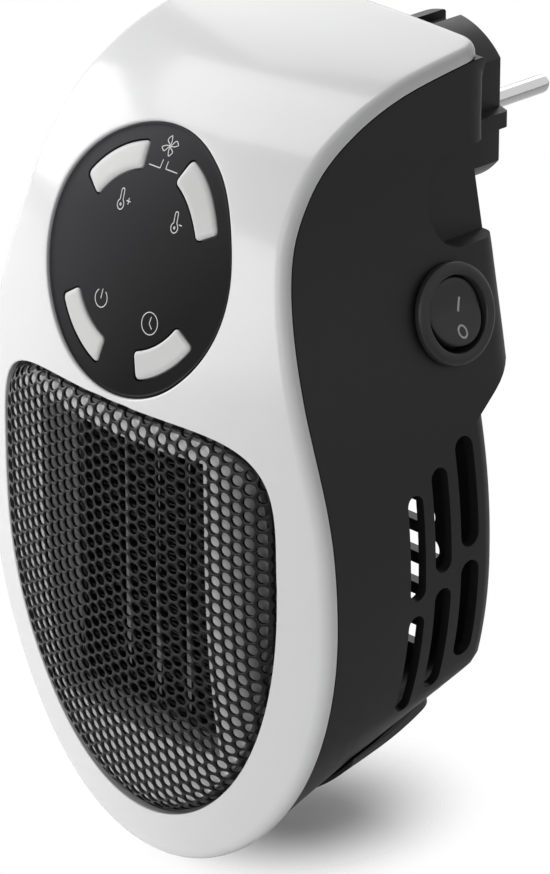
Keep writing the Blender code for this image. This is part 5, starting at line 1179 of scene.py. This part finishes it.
# %% The pad under the body
PAD_FRONT, PAD_GAP, PAD_THIN, PAD_THICK, PAD_ROUND = (value * MM for value in (42, 0.5, 0.8, 3.8, 6))
PAD_HALF, PAD_POINTS, PAD_EDGE, PAD_LIP = math.radians(44), 60, 0.05, 0.35
pad_rear = -BACK_STEP - HOUSING_WALL / 4
pad_depths = np.concatenate((np.linspace(-PAD_FRONT, pad_rear - PAD_ROUND, 14),
                             pad_rear - PAD_ROUND * (1 - np.sin(np.linspace(0, math.pi / 2, 9)[1:]))))
across = np.linspace(-1, 1, PAD_POINTS)
edge = np.clip((1 - np.abs(across)) / PAD_EDGE, 0, 1)
swell = PAD_LIP + (1 - PAD_LIP) * np.sqrt(edge * (2 - edge))


def pad_row(depth):
    """The pad's loop at one depth: its top on the housing, its underside thicker to the rear."""
    past = min(1.0, max(0.0, depth - pad_rear + PAD_ROUND) / PAD_ROUND)
    narrow = 1 - (1 - math.sqrt(1 - past**2)) * PAD_ROUND / (BODY_WIDTH / 3)
    turns = -math.pi / 2 + PAD_HALF * narrow * across
    skin = reach(turns, np.full_like(turns, depth), 0.0) + PAD_GAP
    thick = PAD_THIN + (PAD_THICK - PAD_THIN) * (depth + PAD_FRONT) / (pad_rear + PAD_FRONT)
    top, under = (polar((0, WIDEST_HEIGHT), far, turns) for far in (skin, skin + thick * swell))
    return flat_depth(np.concatenate((top, under[::-1])), depth)


def pinched(row):
    """An end row with its top and underside brought together on their middle line."""
    middle = (row[:PAD_POINTS] + row[PAD_POINTS:][::-1]) / 2
    return np.concatenate((middle, middle[::-1]))


pad_rows = [pad_row(depth) for depth in pad_depths]
pad_mesh = new_mesh("pad", [np.array([pinched(pad_rows[0]), *pad_rows, pinched(pad_rows[-1])])])
add_piece("pad", pad_mesh, "pad_rubber", "heater_body", "underside_pad", sharp=35.0)

# %% [markdown]
# ## Light and floor
# A white studio: broad lamps at a plain level, and a white surround that the camera and the glossy parts
# see. The pale floor bears the heater's soft shadow, cast by the lamps and deepened by painted shade: the
# floor's colour is painted darker in an ellipse beside the heater. Only the camera sees the floor fade out,
# by its alpha, a little beyond that ellipse, so that the light which it throws back is that of a whole floor.

# %% The lamps and the surround
HEART, AMBIENT = (0.0, -0.06, -0.06), 0.06
LAMPS = {"left": ((-1.1, -0.35, 0.35), 0.75, 6.5), "above": ((-0.6, -0.1, 1.0), 0.8, 5.4),
         "rear": ((-0.7, 0.8, 0.6), 0.8, 2.8), "front": ((-0.2, -1.1, 0.0), 0.7, 4.2),
         "right": ((0.55, -1.0, 0.42), 0.7, 2.0)}
for name, (place, size, power) in LAMPS.items():
    data = bpy.data.lights.new("lamp_" + name, "AREA")
    data.size, data.energy = size, power
    lamp = bpy.data.objects.new("lamp_" + name, data)
    bpy.context.scene.collection.objects.link(lamp)
    lamp.location = place
    lamp.rotation_euler = (Vector(HEART) - Vector(place)).to_track_quat("-Z", "Y").to_euler()

world = bpy.data.worlds.new("studio")
bpy.context.scene.world = world
world.use_nodes = True
sky = world.node_tree
path = sky.nodes.new("ShaderNodeLightPath")
white = path.outputs["Is Camera Ray"]
for kind in ("Is Transmission Ray", "Is Glossy Ray"):
    either = sky.nodes.new("ShaderNodeMath")
    either.operation = "MAXIMUM"
    sky.links.new(white, either.inputs[0])
    sky.links.new(path.outputs[kind], either.inputs[1])
    white = either.outputs[0]
level = sky.nodes.new("ShaderNodeMapRange")
sky.links.new(white, level.inputs["Value"])
level.inputs["To Min"].default_value, level.inputs["To Max"].default_value = AMBIENT, 1.0
background = sky.nodes["Background"]
sky.links.new(level.outputs[0], background.inputs["Strength"])
background.inputs["Color"].default_value = (1, 1, 1, 1)
print(len(LAMPS), "lamps")

# %% The floor
FLOOR_HALF, FLOOR_GLOW, SEEN_GLOW, NEAR_PAINTED_SHADE = 3.0, 0.12, (0.25, 0.25, 0.25, 1), 0.6
SHADE_MIDDLE, SHADE_REACH = (9 * MM, -52 * MM), (38 * MM, 44 * MM)
ground = float(TO_ROW[2])
corners = [(x * FLOOR_HALF, y * FLOOR_HALF, ground) for x, y in ((-1, -1), (1, -1), (1, 1), (-1, 1))]
floor_mesh = bpy.data.meshes.new("floor")
floor_mesh.from_pydata(corners, [], [(0, 1, 2, 3)])
floor = bpy.data.objects.new("floor", floor_mesh)
bpy.context.scene.collection.objects.link(floor)
paint = Finish("floor_white_painted_shade", (0.9, 0.9, 0.9), 0.7, Emission_Strength=FLOOR_GLOW)
seen = Field(paint, paint.node("ShaderNodeLightPath").outputs["Is Camera Ray"])
paint.feed(paint.shader.inputs["Emission Color"], paint.mix(seen, (1, 1, 1, 1), SEEN_GLOW))
spot = paint.node("ShaderNodeSeparateXYZ", {}, {0: paint.place()})
right, deep = ((Field(paint, spot.outputs[axis]) - SHADE_MIDDLE[axis]) / SHADE_REACH[axis] for axis in (0, 1))
away = (right * right + deep * deep) ** 0.5
# Painted shadow: the floor's colour darkens towards the ellipse's middle beside the heater, and is full again
# at 0.55 of its reach.
paint.tint(away.above(0.0, 0.55), NEAR_PAINTED_SHADE, 1.0)
fade = 1.0 - away.above(0.18, 1.0)
paint.feed(paint.shader.inputs["Alpha"], 1.0 - seen * (1.0 - fade * fade * (3.0 - 2.0 * fade)))
floor_mesh.materials.append(paint.material)

scene = bpy.context.scene
scene.view_settings.view_transform = "Standard"
